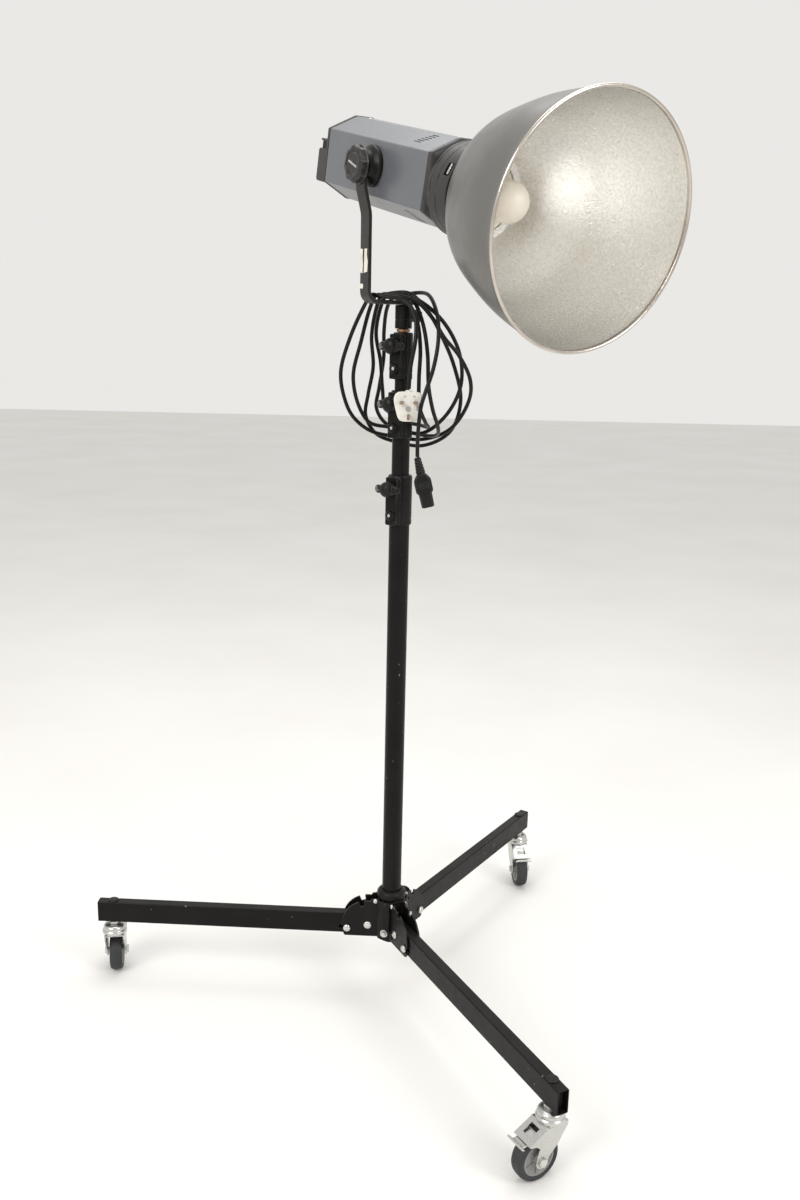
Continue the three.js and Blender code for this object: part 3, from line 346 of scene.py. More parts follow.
FLEX = surface(
    "flex", (0.005, 0.005, 0.005), (0.011, 0.0105, 0.01), 25, 1200, (0.3, 0.42),
    relief=0.00004, dust=0.02, specular=0.2)
CASING = surface(
    "dark_casting", (0.026, 0.024, 0.0235), (0.042, 0.039, 0.038), 14, 650, (0.32, 0.46),
    relief=0.00014, worn=(0.16, 0.15, 0.145), dust=0.04, specular=0.4)
DISH_OUTSIDE = surface(
    "dish_outside", (0.15, 0.145, 0.135), (0.185, 0.178, 0.167), 7, 500, (0.26, 0.36), metallic=0.6)
DISH_RIM = surface(
    "dish_rim", (0.5, 0.45, 0.4), (0.62, 0.57, 0.52), 25, 400, (0.16, 0.26), metallic=0.95)
BRASS = surface(
    "brass", (0.3, 0.17, 0.09), (0.42, 0.27, 0.16), 30, 500, (0.25, 0.4), metallic=0.95)
PIN_METAL = surface(
    "pin_metal", (0.25, 0.18, 0.13), (0.42, 0.33, 0.24), 50, 500, (0.25, 0.45), metallic=0.9)
BRIGHT_BOLT = surface(
    "bright_bolt", (0.52, 0.52, 0.49), (0.68, 0.68, 0.66), 60, 500, (0.2, 0.35), metallic=0.9,
    relief=0.00005)
TAPE = surface(
    "tape", (0.62, 0.58, 0.5), (0.78, 0.75, 0.68), 50, 400, (0.55, 0.75), relief=0.0001)
SLEEVE_BLUE = surface(
    "capacitor_sleeve", (0.02, 0.03, 0.09), (0.04, 0.06, 0.14), 20, 300, (0.25, 0.4))
LAMINATE = surface(
    "circuit_laminate", (0.02, 0.08, 0.035), (0.04, 0.12, 0.06), 60, 200, (0.35, 0.5))


# ------------------------------------------------------------------ mesh helpers
def add_object(name, data):
    obj = bpy.data.objects.new(name, data)
    bpy.context.scene.collection.objects.link(obj)
    return obj


def as_list(value):
    return list(value) if isinstance(value, (list, tuple)) else [value]


def shaded(obj):
    """Smooth faces with sharp edges kept between flat ones."""
    for polygon in obj.data.polygons:
        polygon.use_smooth = True
    obj.data.set_sharp_from_angle(angle=math.radians(SHARP_ANGLE))


def soften(obj, width, segments, angle):
    """A bevel, in millimetres, on edges sharper than angle."""
    edge = obj.modifiers.new("edges", "BEVEL")
    edge.width = width * MM
    edge.segments = segments
    edge.limit_method = "ANGLE"
    edge.angle_limit = math.radians(angle)


def merged(name, parts, at):
    """One mesh in metres from bmesh parts drawn in millimetres in the frame at."""
    mesh = bpy.data.meshes.new(name)
    whole = bmesh.new()
    for part in parts:
        scrap = bpy.data.meshes.new("scrap")
        part.to_mesh(scrap)
        part.free()
        whole.from_mesh(scrap)
        bpy.data.meshes.remove(scrap)
    bmesh.ops.recalc_face_normals(whole, faces=whole.faces)
    bmesh.ops.transform(whole, matrix=at @ Matrix.Scale(MM, 4), verts=whole.verts)
    whole.to_mesh(mesh)
    whole.free()
    return mesh


def piece(name, parts, materials, body, at, replaces=(), bevel=0.0, segments=2):
    """One object from bmesh parts in millimetres, placed by the frame at and riding on body."""
    obj = add_object(name, merged(name, as_list(parts), at))
    for material in as_list(materials):
        obj.data.materials.append(material)
    shaded(obj)
    if bevel:
        soften(obj, bevel, segments, SHARP_ANGLE)
    obj.modifiers.new("flat_faces", "WEIGHTED_NORMAL").keep_sharp = True
    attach(obj, body)
    if replaces:
        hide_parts(*as_list(replaces))
    return obj


def spin(profile, segments=64, axis="Z", at=(0, 0, 0), material=0):
    """A turned shape from (radius, height) pairs. Profile ends on the axis are closed there,
    and any other profile is closed on itself."""
    bm = bmesh.new()
    rings = []
    for radius, height in profile:
        count = 1 if radius < 1e-6 else segments
        rings.append([
            bm.verts.new((*polar(radius, 360 * k / segments), height)) for k in range(count)
        ])
    pairs = list(zip(rings, rings[1:]))
    if len(rings[0]) > 1 or len(rings[-1]) > 1:
        pairs.append((rings[-1], rings[0]))
    for low, high in pairs:
        for k in range(segments):
            k2 = (k + 1) % segments
            corners = [low[k % len(low)], low[k2 % len(low)], high[k2 % len(high)], high[k % len(high)]]
            corners = list(dict.fromkeys(corners))
            if len(corners) > 2:
                bm.faces.new(corners).material_index = material
    if axis == "X":
        turned_part(bm, 90, "Y")
    if axis == "Y":
        turned_part(bm, -90, "X")
    return moved_part(bm, at)


def rod(radius, low, high, axis="Z", at=(0, 0, 0), segments=32, soft=0.4, material=0):
    """A rod with softened ends."""
    profile = [
        (0, low), (radius - soft, low), (radius, low + soft), (radius, high - soft),
        (radius - soft, high), (0, high),
    ]
    return spin(profile, segments, axis, at, material)


def polar(radius, degrees, cx=0, cy=0):
    angle = math.radians(degrees)
    return cx + radius * math.cos(angle), cy + radius * math.sin(angle)


def arc(cx, cy, radius, start, end, count):
    step = (end - start) / count
    return [polar(radius, start + step * i, cx, cy) for i in range(count + 1)]


def mirrored(points):
    """The same points in reverse order, with the second value negated."""
    return [(first, -second) for first, second in reversed(points)]


def lobes(radius, depth, number, count):
    """Radius and angle at steps round a lobed grip."""
    angles = [2 * math.pi * i / count for i in range(count)]
    return [(radius + depth * math.cos(number * a), a) for a in angles]


def lobed_outline(radius, depth, number, count, rise=0):
    points = lobes(radius, depth, number, count)
    return [(r * math.cos(a), rise + r * math.sin(a)) for r, a in points]


def slab(points, low, high, plane="XZ", material=0):
    """A flat outline made thick between two offsets on the axis across its plane."""
    bm = bmesh.new()
    place = {
        "XZ": lambda p, d: (p[0], d, p[1]),
        "YZ": lambda p, d: (d, p[0], p[1]),
        "XY": lambda p, d: (p[0], p[1], d),
    }[plane]
    first = [bm.verts.new(place(p, low)) for p in points]
    second = [bm.verts.new(place(p, high)) for p in points]
    bm.faces.new(first)
    bm.faces.new(second[::-1])
    for i in range(len(points)):
        j = (i + 1) % len(points)
        bm.faces.new((first[i], second[i], second[j], first[j]))
    for face in bm.faces:
        face.material_index = material
    return bm


def block(x0, x1, y0, y1, z0, z1, material=0):
    return slab([(x0, z0), (x1, z0), (x1, z1), (x0, z1)], y0, y1, "XZ", material)


def rounded(x0, x1, y0, y1, radius, count=5):
    """Outline of a rectangle with round corners."""
    return (
        arc(x1 - radius, y0 + radius, radius, -90, 0, count)
        + arc(x1 - radius, y1 - radius, radius, 0, 90, count)
        + arc(x0 + radius, y1 - radius, radius, 90, 180, count)
        + arc(x0 + radius, y0 + radius, radius, 180, 270, count)
    )


def turned_part(part, degrees, axis):
    bmesh.ops.rotate(
        part, cent=(0, 0, 0), matrix=Matrix.Rotation(math.radians(degrees), 3, axis),
        verts=part.verts)
    return part


def moved_part(part, offset):
    bmesh.ops.translate(part, vec=offset, verts=part.verts)
    return part


def skin(rings, closed_rings=True):
    """A closed skin through rings of equal point counts."""
    bm = bmesh.new()
    rows = [[bm.verts.new(p) for p in ring] for ring in rings]
    pairs = list(zip(rows, rows[1:]))
    if closed_rings:
        pairs.append((rows[-1], rows[0]))
    for low, high in pairs:
        for k in range(len(low)):
            k2 = (k + 1) % len(low)
            bm.faces.new((low[k], low[k2], high[k2], high[k]))
    if not closed_rings:
        bm.faces.new(rows[0][::-1])
        bm.faces.new(rows[-1])
    return bm


def directions(points):
    """The direction of a line at each of its points."""
    ends = [Vector(p) for p in (points[0], *points, points[-1])]
    return [(after - before).normalized() for before, after in zip(ends, ends[2:])]


def carve(obj, parts, at):
    """Cuts bmesh parts, drawn in millimetres in the frame at, out of a piece's mesh."""
    mesh = merged("cutter", parts, at)
    cutter = add_object("cutter", mesh)
    kept = list(obj.modifiers)
    for modifier in kept:
        modifier.show_viewport = False
    tool = obj.modifiers.new("cut", "BOOLEAN")
    tool.object = cutter
    tool.operation = "DIFFERENCE"
    tool.solver = "EXACT"
    bpy.context.view_layer.update()
    graph = bpy.context.evaluated_depsgraph_get()
    result = bpy.data.meshes.new_from_object(obj.evaluated_get(graph))
    obj.modifiers.remove(tool)
    obj.data = result
    bpy.data.objects.remove(cutter)
    bpy.data.meshes.remove(mesh)
    for modifier in kept:
        modifier.show_viewport = True
    shaded(obj)
    return obj


def paint(node, material, bevel=0.0):
    """A CAD node keeps its shape, and gets a finish and softened edges."""
    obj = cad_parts[node]
    obj.data.materials.clear()
    obj.data.materials.append(material)
    if bevel:
        soften(obj, bevel, 2, CAD_EDGE_ANGLE)


def hex_outline(cx, cy, radius, start=0):
    return arc(cx, cy, radius, start, start + 300, 5)


def dome_head(radius, low, high, axis="Y", at=(0, 0, 0), material=0):
    """A low domed rivet or bolt head, from its seat at low to its top at high."""
    rise = high - low
    profile = [(0, low), (radius, low)]
    for degrees in range(0, 90, 15):
        out, up = polar(1, degrees)
        profile.append((radius * out, low + rise * (0.35 + 0.65 * up)))
    profile.append((0, high))
    return spin(profile, 28, axis, at, material)


def hex_head(radius, low, high, axis="Y", at=(0, 0), material=0):
    """A hexagon head; at is its centre in the plane across its axis."""
    plane = {"Y": "XZ", "X": "YZ", "Z": "XY"}[axis]
    return slab(hex_outline(at[0], at[1], radius, 15), low, high, plane, material)


# ------------------------------------------------------------------ camera
CAMERA_AT = (5.53, -1878.78, 1219.78)   # from the mast axis on the floor
CAMERA_PITCH = 0.240132
CAMERA_YAW = -0.000737
CAMERA_ROLL = 0.0216723
FOCAL_PIXELS = 1107.56
IMAGE_HEIGHT = 1200


def camera():
    """The viewpoint, pitched down and slightly rolled."""
    data = bpy.data.cameras.new("camera")
    obj = add_object("camera", data)
    data.sensor_width = 36
    data.lens = 36 * FOCAL_PIXELS / IMAGE_HEIGHT
    data.clip_end = 100
    level = math.cos(CAMERA_PITCH)
    ahead = Vector((
        math.sin(CAMERA_YAW) * level, math.cos(CAMERA_YAW) * level, -math.sin(CAMERA_PITCH)))
    right = Vector((math.cos(CAMERA_YAW), -math.sin(CAMERA_YAW), 0))
    up = right.cross(ahead)
    c, s = math.cos(CAMERA_ROLL), math.sin(CAMERA_ROLL)
    across, upright = c * right + s * up, c * up - s * right
    rotation = Matrix((across, upright, -ahead)).transposed().to_4x4()
    obj.matrix_world = MAST @ move(*CAMERA_AT) @ rotation
    bpy.context.scene.camera = obj


camera()

# ------------------------------------------------------------------ mains lead
# Positions about the mast axis, the same as the solid tube of the part.
PLUG_TAIL = [
    (11, -76, 1126.5), (13, -75, 1160), (20, -72, 1205), (18, -61, 1240), (2, -48, 1263),
]
LEAD_TURNS = [
    [
        (-38, -38, 1270), (-53, -25, 1272), (-63, -8, 1258), (-88, 9, 1204), (-104, 24, 1146),
        (-97, 31, 1101), (-83, 37, 1072), (-54, 48, 1048), (-12, 58, 1038), (36, 56, 1034),
        (84, 26, 1056), (112, -4, 1106), (112, -20, 1140), (91, -35, 1180), (66, -43, 1208),
        (46, -46, 1238), (18, -42, 1264),
    ],
    [
        (-34, -28, 1272), (-46, -12, 1271), (-56, 6, 1251), (-70, 15, 1198), (-83, 26, 1140),
        (-73, 34, 1090), (-54, 42, 1062), (-14, 50, 1054), (34, 38, 1046), (74, 14, 1078),
        (97, -6, 1128), (95, -12, 1176), (74, -26, 1220), (46, -33, 1250), (14, -32, 1269),
    ],
    [
        (-26, -19, 1274), (-37, -2, 1272), (-46, 16, 1250), (-53, 30, 1207), (-50, 42, 1156),
        (-58, 46, 1110), (-62, 50, 1074), (-44, 62, 1042), (-8, 72, 1027), (38, 70, 1022),
        (84, 40, 1050), (99, 14, 1104), (86, 0, 1160), (64, -14, 1208), (38, -21, 1250),
        (10, -22, 1275),
    ],
    [
        (-18, -10, 1276), (-30, 7, 1272), (-39, 24, 1252), (-46, 46, 1210), (-38, 54, 1165),
        (-34, 58, 1120), (-28, 60, 1086), (0, 56, 1066), (32, 38, 1060), (45, 4, 1060),
        (40, -34, 1070), (29, -59, 1098), (27, -64, 1140), (28, -63, 1190), (22, -51, 1232),
        (10, -34, 1257),
    ],
    [
        (-5, -13, 1272), (-18, 8, 1269), (-28, 32, 1253), (-33, 60, 1215), (-33, 70, 1170),
        (-40, 70, 1120), (-44, 64, 1086), (-28, 66, 1060), (2, 64, 1048), (38, 48, 1042),
        (60, 12, 1046), (61, -22, 1062), (51, -45, 1092), (43, -58, 1130), (40, -61, 1180),
        (34, -54, 1218), (26, -40, 1244), (16, -22, 1263.5), (4, -5, 1272.5),
    ],
]
CONNECTOR_TAIL = [
    (-3, 9, 1272), (-2, 20, 1274), (6, 29, 1276), (19, 28, 1278), (31, 14, 1278), (40, -8, 1274),
    (48, -32, 1261), (55, -54, 1236), (56, -69, 1200), (49, -79, 1158), (38, -89, 1124),
    (31, -93, 1100), (28, -92, 1070), (27, -84, 1042), (27.3, -80, 1019),
]


def smooth_line(points, steps):
    """Centripetal Catmull-Rom line through points."""
    ends = [2 * points[0] - points[1], *points, 2 * points[-1] - points[-2]]
    line = []
    for p0, p1, p2, p3 in zip(ends, ends[1:], ends[2:], ends[3:]):
        d0, d1, d2 = (math.sqrt((b - a).length) for a, b in ((p0, p1), (p1, p2), (p2, p3)))
        t1 = ((p1 - p0) / d0 - (p2 - p0) / (d0 + d1) + (p2 - p1) / d1) * d1
        t2 = ((p2 - p1) / d1 - (p3 - p1) / (d1 + d2) + (p3 - p2) / d2) * d1
        for i in range(steps):
            t = i / steps
            line.append(
                p1 + t1 * t + (3 * (p2 - p1) - 2 * t1 - t2) * t * t
                + (2 * (p1 - p2) + t1 + t2) * t ** 3)
    line.append(points[-1])
    return line


def lead_line():
    route = [*PLUG_TAIL, *[p for turn_points in LEAD_TURNS for p in turn_points], *CONNECTOR_TAIL]
    points = [Vector(p) for p in route]
    return [MAST @ (p * MM) for p in smooth_line(points, 10)]


def mains_lead(line):
    curve = bpy.data.curves.new("mains_lead_flex", "CURVE")
    curve.dimensions = "3D"
    curve.bevel_depth = LEAD_R * MM
    curve.bevel_resolution = 4
    curve.use_fill_caps = True
    spline = curve.splines.new("POLY")
    spline.points.add(len(line) - 1)
    for point, at in zip(spline.points, line):
        point.co = (*at, 1)
    curve.materials.append(FLEX)
    obj = add_object("mains_lead_flex", curve)
    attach(obj, "yoke")
    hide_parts("mains_lead")
    return obj


PLUG = {"x": 11, "top": 1122.5, "back": -67, "face": -86}
PLUG_SHAPE = (
    (10, 0), (17, -1), (21.5, -4.5), (23.6, -10), (23.4, -16), (22, -23), (20.2, -30),
    (18.6, -36), (17, -41), (13.5, -45.6), (8, -47.2),
)                                       # half width, and height below the top


def plug_outline(inset):
    """Broad rounded shoulders at the flex entry, narrowing to the earth pin's end."""
    x, middle = PLUG["x"], PLUG["top"] - 23
    left = []
    for half, down in PLUG_SHAPE:
        height = PLUG["top"] + down
        shrink = 1 - inset / 23
        left.append((x - half * shrink, middle + (height - middle) * shrink))
    right = [(2 * x - px, pz) for px, pz in reversed(left)]
    return [*left, *right]


def mains_plug():
    """Moulded plug: body, flex entry, sleeved pins, a screw and plain marks."""
    x, top, back, face = PLUG["x"], PLUG["top"], PLUG["back"], PLUG["face"]
    layers = [(face, 1.2), (face + 1.2, 0), (back - 7, 0), (back - 2.5, 1.5), (back, 5)]
    shell = skin([[(px, y, pz) for px, pz in plug_outline(inset)] for y, inset in layers], False)
    sleeve = [(3.6, top - 3), (5.4, top - 3), (5.4, top + 1.2), (4.8, top + 2), (3.6, top + 2)]
    entry = spin(sleeve, 32, "Z", (x, -76, 0))
    parts = [shell, entry]
    for dx in (-11.1, 11.1):
        z = top - 17
        parts.append(block(x + dx - 3.2, x + dx + 3.2, face - 9, face + 2, z - 2, z + 2, 1))
        parts.append(block(x + dx - 3.1, x + dx + 3.1, face - 17.7, face - 9, z - 1.9, z + 1.9, 2))
    z = top - 39.2
    parts.append(block(x - 2, x + 2, face - 22.7, face + 2, z - 4, z + 4, 2))
    parts.append(dome_head(4.4, -0.2, 0.9, "Y", (x, face - 0.5, top - 27.5), 3))
    fuse = slab(rounded(x + 12.6, x + 18.4, top - 30, top - 22, 1.2), face - 0.5, face + 1, "XZ", 3)
    parts.append(fuse)
    for dx in (-6, 9):
        mark = rounded(x + dx - 2, x + dx + 2, top - 8.5, top - 6.2, 0.8)
        parts.append(slab(mark, face - 0.35, face + 1, "XZ", 3))
    materials = [WHITE_PLASTIC, BLACK_PLASTIC, PIN_METAL, GREY_MARK]
    return piece(
        "plug_body", parts, materials, "yoke", MAST, "mains_plug", bevel=0.5)


def inlet_connector():
    """Ribbed strain relief, then a moulded body with three slots."""
    end = CONNECTOR_TAIL[-1]
    at = MAST @ move(end[0], end[1], end[2] - 2) @ turn(-14, "Y")
    relief = [(3.5, 0.5), (4.7, 0.5)]
    for i in range(5):
        z = -3 - 5 * i
        radius = 5.4 + 0.5 * i
        relief += [(radius, z + 1.6), (radius + 0.3, z), (radius + 0.3, z - 2), (radius - 0.5, z - 2.3)]
    relief += [(7.2, -27), (3.5, -27)]
    sections = [
        (-27, 7, 6.6), (-29, 8.6, 7.6), (-33, 11.6, 8.3), (-37, 13.8, 8.8), (-40, 14.2, 9),
        (-54, 14.2, 9), (-57, 13.4, 8.9), (-60, 10.9, 8.6), (-80.5, 10.5, 8.6), (-82, 9.9, 8),
    ]
    rings = []
    for z, half, deep in sections:
        rings.append([
            (-half, -deep * 0.45, z), (-half * 0.72, -deep, z), (half * 0.72, -deep, z),
            (half, -deep * 0.45, z), (half, deep, z), (-half, deep, z),
        ])
    body = skin(rings, False)
    parts = [spin(relief, 28), body]
    for z in (-42, -46, -50):
        parts.append(block(-8, 8, -9.6, -6, z - 0.9, z + 0.9))
    obj = piece(
        "connector_body", parts, BLACK_PLASTIC, "yoke", at, "inlet_connector",
        bevel=0.6)
    slots = [block(x - 1.5, x + 1.5, y - 2.2, y + 2.2, -84, -68)
             for x, y in ((-6, 2.5), (6, 2.5), (0, -2.5))]
    return carve(obj, slots, at)


def hang_lead():
    line = lead_line()
    lead = mains_lead(line)
    mains_plug()
    inlet_connector()


hang_lead()


# ------------------------------------------------------------------ stand hub and legs
def tube(name, radius, low, high, body, node):
    """A drawn tube with softened rims, open at the top."""
    wall = 1.5
    profile = [
        (radius - wall, low), (radius - 0.5, low), (radius, low + 0.5), (radius, high - 0.5),
        (radius - 0.5, high), (radius - wall, high),
    ]
    piece(name, spin(profile, 72), STEEL, body, MAST, node)


def mast_tubes():
    tube("mast_outer", TUBE_RADII[0], 104, 944, "stand", "main_tube")
    tube("mast_inner", TUBE_RADII[1], 294, 1085, "mast_middle", "mast_tube_middle")
    tube("mast_upper", TUBE_RADII[2], 481, 1179, "mast_top", "mast_tube_top")


def hub():
    """The collar round the main tube, with a curved gusset and bolts between the brackets."""
    profile = [
        (17.9, 106), (20.4, 106), (21, 106.6), (21, 190.5), (23.6, 192), (26, 193.5),
        (26.6, 195), (26.6, 201.5), (25.8, 203.2), (22.6, 206.4), (21.6, 207), (17.9, 207),
    ]
    parts = [spin(profile, 72)]
    gusset = ((28, 114), (31, 114), (31, 190), (28, 190))
    for azimuth in LEG_AZIMUTHS.values():
        angles = [azimuth + 38 + 6 * i for i in range(9)]
        parts.append(skin([[(*polar(r, a), z) for r, z in gusset] for a in angles], False))
        low_bolt = rod(5.6, 30, 35.5, "X", (0, 0, 128), 6, 0.6, 1)
        washer = rod(7.4, 29.4, 31.4, "X", (0, 0, 128), 24, 0.3, 1)
        high_bolt = rod(4.6, 29.4, 34, "X", (0, 0, 184), 20, 1.2)
        for part, offset in ((low_bolt, 68), (washer, 68), (high_bolt, 72)):
            parts.append(turned_part(part, azimuth + offset, "Z"))
    piece("hub_centre", parts, [CASTING, BRIGHT_BOLT], "stand", MAST, "hub_sleeve", 0.5)


def cheek_outline():
    """Bracket side: a toe, then an arc about the pivot with two open notches for the pin."""
    radius, deep, half = 48.5, 38.5, 5.4
    spread = math.degrees(math.asin(half / deep)) * 0.72
    follow = math.degrees(math.asin(half / radius))
    lower, upper = -10.3, 75.7
    points = [(-21.7, -23), (42, -23), (44.5, -21), polar(radius, -17)]
    for centre, end, count in ((lower, upper - follow, 14), (upper, 96, 4)):
        points += [polar(deep, a) for a in (centre - spread, centre, centre + spread)]
        points += arc(0, 0, radius, centre + follow, end, count)
    return [*points, (-8, 53), (-21.7, 53)]


def bracket(key):
    inside, outside = 10.6, 13.6
    parts = []
    for side in (1, -1):
        base = side * outside
        parts.append(slab(cheek_outline(), *sorted((side * inside, base))))
        parts.append(dome_head(7.2, 0, side * 3.6, "Y", (0, base, 0), 1))
        parts.append(rod(3.4, *sorted((base, base + side * 4.4)), "Y", (0, 0, 0), 20, 0.3, 1))
        parts.append(dome_head(4.4, 0, side * 3, "Y", (-14.5, base, 49.5), 1))
    for low, high in ((-23, -10), (17, 53)):
        parts.append(block(-21.7, -19.2, -inside - 1, inside + 1, low, high))
    parts.append(rod(4, -12, 12, "Y", (0, 0, 0), 24, 0.2, 1))
    piece(
        f"bracket_plates_{key}", parts, [CASTING, BRIGHT_BOLT], "stand", LEG[key],
        f"leg_bracket_{key}", bevel=0.5)


def leg(key):
    """A hollow tube with its end plug, a slot for the pin, and holes for pivot and stem."""
    outline = rounded(-10, 10, -20, 20, 2.2)
    tube_part = slab(outline, LEG_START, LEG_LENGTH, "YZ")
    obj = piece(
        f"leg_bar_{key}", tube_part, STEEL, f"leg_{key}", LEG[key], f"leg_tube_{key}")
    plug = slab(rounded(-8.2, 8.2, -18.2, 18.2, 1), LEG_LENGTH - 15, LEG_LENGTH - 10, "YZ")
    piece(
        f"leg_end_plug_{key}", plug, BLACK_PLASTIC, f"leg_{key}", LEG[key],
        bevel=0.8)
    x, z = PIN_AT
    slot = slab(
        [*arc(x + 12, z, 3.5, -90, 90, 8), *arc(x, z, 3.5, 90, 270, 8)], -12, 12)
    hollow = slab(rounded(-8.4, 8.4, -18.4, 18.4, 1), LEG_START - 2, LEG_LENGTH + 2, "YZ")
    bolt_hole = rod(4.3, -12, 12, "Y", (0, 0, 0), 24)
    stem_hole = rod(6.2, -22, 22, "Z", (STEM_RADIUS - PIVOT_RADIUS, 0, 0), 24)
    carve(obj, [hollow], LEG[key])
    carve(obj, [slot, bolt_hole, stem_hole], LEG[key])


def lock_pin(key):
    """A cross pin with domed heads outside both cheeks."""
    x, z = PIN_AT
    parts = [rod(3, -15, 15, "Y", (x, 0, z), 24, 0.2)]
    for side in (1, -1):
        parts.append(dome_head(7, 0, side * 5.5, "Y", (x, side * 14.1, z)))
    piece(
        f"pin_{key}", parts, BRIGHT_BOLT, f"lock_pin_{key}", LEG[key], f"lock_pin_{key}",
        0.3)


def stem(key):
    """The caster stem through the leg, with its cap and nut."""
    at = LEG[key] @ move(STEM_RADIUS - PIVOT_RADIUS, 0, 0)
    plug = spin([(0, 20.3), (9.6, 20.3), (9.6, 21.4), (8.6, 22.6), (6, 23), (0, 23.2)], 36)
    shaft = rod(6, -24, 21, "Z", (0, 0, 0), 32)
    nut = slab(hex_outline(0, 0, 11.2, 12), -25.5, -20.4, "XY", 1)
    piece(
        f"stem_parts_{key}", [plug, shaft, nut], [BLACK_PLASTIC, ZINC], f"leg_{key}", at,
        f"caster_stem_{key}", bevel=0.4)


def fork_outline():
    return [
        (-20, FORK_TOP - 0.5), (-19.5, 84), (-12, 74), (-2, 58), (TRAIL - 14, 44),
        *arc(TRAIL, 37.5, 11, 170, 370, 14), (TRAIL + 9, 50), (31, 62), (38, 67.5), (49, 70),
        (53, 74.5), (20, FORK_TOP - 0.5),
    ]


def fork(key):
    """Two pressed cheeks under a race, joined by a front plate and bridges."""
    out = FORK_HALF + SHEET
    parts = [slab(fork_outline(), FORK_HALF, out), slab(fork_outline(), -out, -FORK_HALF)]
    front = block(-20, 20, -out, out, FORK_TOP - SHEET, FORK_TOP)
    edge_bars = [
        slab([(19.4, FORK_TOP - SHEET), (52, 73.2), (53, 75), (20, FORK_TOP)], side * 9.2, side * out)
        for side in (1, -1)
    ]
    bridges = [
        slab([(19.4, FORK_TOP - SHEET), (26, 86.3), (27, 88.2), (20, FORK_TOP)], -9.3, 9.3),
        slab([(42.5, 78.3), (52, 73.2), (53, 75), (43.5, 80)], -9.3, 9.3),
    ]
    race = spin([
        (0, 91), (21, 91), (22.6, 92.6), (23, 94.5), (22.3, 97.6), (20.6, 99.2), (20.2, 100.4),
        (20.6, 101.4), (20.6, 104), (19.4, 106.4), (17, 108.6), (11, 110), (0, 110),
    ], 56)
    axle = rod(5, -out - 3, out + 3, "Y", (TRAIL, 0, WHEEL_R), 28, 0.4, 1)
    heads = [hex_head(7.4, side * out, side * (out + 4), "Y", (TRAIL, WHEEL_R), 1) for side in (1, -1)]
    piece(
        f"fork_{key}", [*parts, front, *edge_bars, *bridges, race, axle, *heads], [ZINC, BRIGHT_BOLT],
        f"caster_{key}", CASTER[key], f"caster_fork_{key}", bevel=0.5)


def wheel(key):
    """A soft tread on a ribbed centre."""
    at = CASTER[key] @ move(TRAIL, 0, WHEEL_R)
    side = [
        (27.8, -10.8), (30, -11.6), (32.4, -11.8), (34.6, -11.2), (36.2, -9.6), (37, -7.4),
        (37.4, -4),
    ]
    tread = spin([*side, (WHEEL_R, 0), *mirrored(side)], 96, "Y")
    piece(f"tread_{key}", tread, TREAD, f"wheel_{key}", at, f"tyre_{key}")
    face = [
        (5.4, -13.4), (8.4, -13.4), (9.2, -12.6), (10, -9.2), (12, -8.6), (22, -8.6), (23.4, -9.4),
        (24.4, -10.8), (27.4, -10.8),
    ]
    core = spin([*face, *mirrored(face)], 72, "Y")
    ribs = [turned_part(block(9, 24, -10.4, 10.4, -1, 1), 60 * i + 20, "Y") for i in range(6)]
    piece(
        f"wheel_centre_{key}", [core, *ribs], GREY_PLASTIC, f"wheel_{key}", at,
        f"wheel_hub_{key}", bevel=0.3)


def brake(key):
    """A bent pedal with a wider tip and two grips."""
    at = CASTER[key] @ move(BRAKE_PIVOT[0], 0, BRAKE_PIVOT[1])
    lever = [
        (-15, 3.5), (-13.6, 1.2), (-8, -1.6), (2, -5.2), (10, -6.5), (16, -6.6), (20, -5),
        (22, -2.4), (21.6, -0.6), (19.5, 0), (18, -3), (16, -4.4), (10, -4.2), (2, -2.6),
        (-6, 0.6), (-12, 3), (-13, 5),
    ]
    tip = [
        (14.5, -6.6), (18.4, -5.8), (21, -4.2), (22, -1.5), (21.2, -0.2), (19.5, 0), (18, -3),
        (16, -4.4),
    ]
    grips = [block(x, x + 1.2, -13, 13, z, z + 1.2) for x, z in ((17.6, -3.2), (19.2, -0.8))]
    parts = [slab(lever, -12, 12), slab(tip, -17, 17), rod(2, -14.5, 14.5, "Y", (0, 0, -2.2), 20), *grips]
    piece(
        f"brake_lever_{key}", parts, ZINC, f"brake_{key}", at, f"brake_pedal_{key}",
        bevel=0.4)


def stand():
    mast_tubes()
    hub()
    for key in LEG_AZIMUTHS:
        bracket(key)
        leg(key)
        lock_pin(key)
        stem(key)
        fork(key)
        wheel(key)
        brake(key)


stand()


# ------------------------------------------------------------------ clamps
LEVELS = ("lower", "middle", "top")
CLAMP_BODIES = ("stand", "mast_middle", "mast_top")


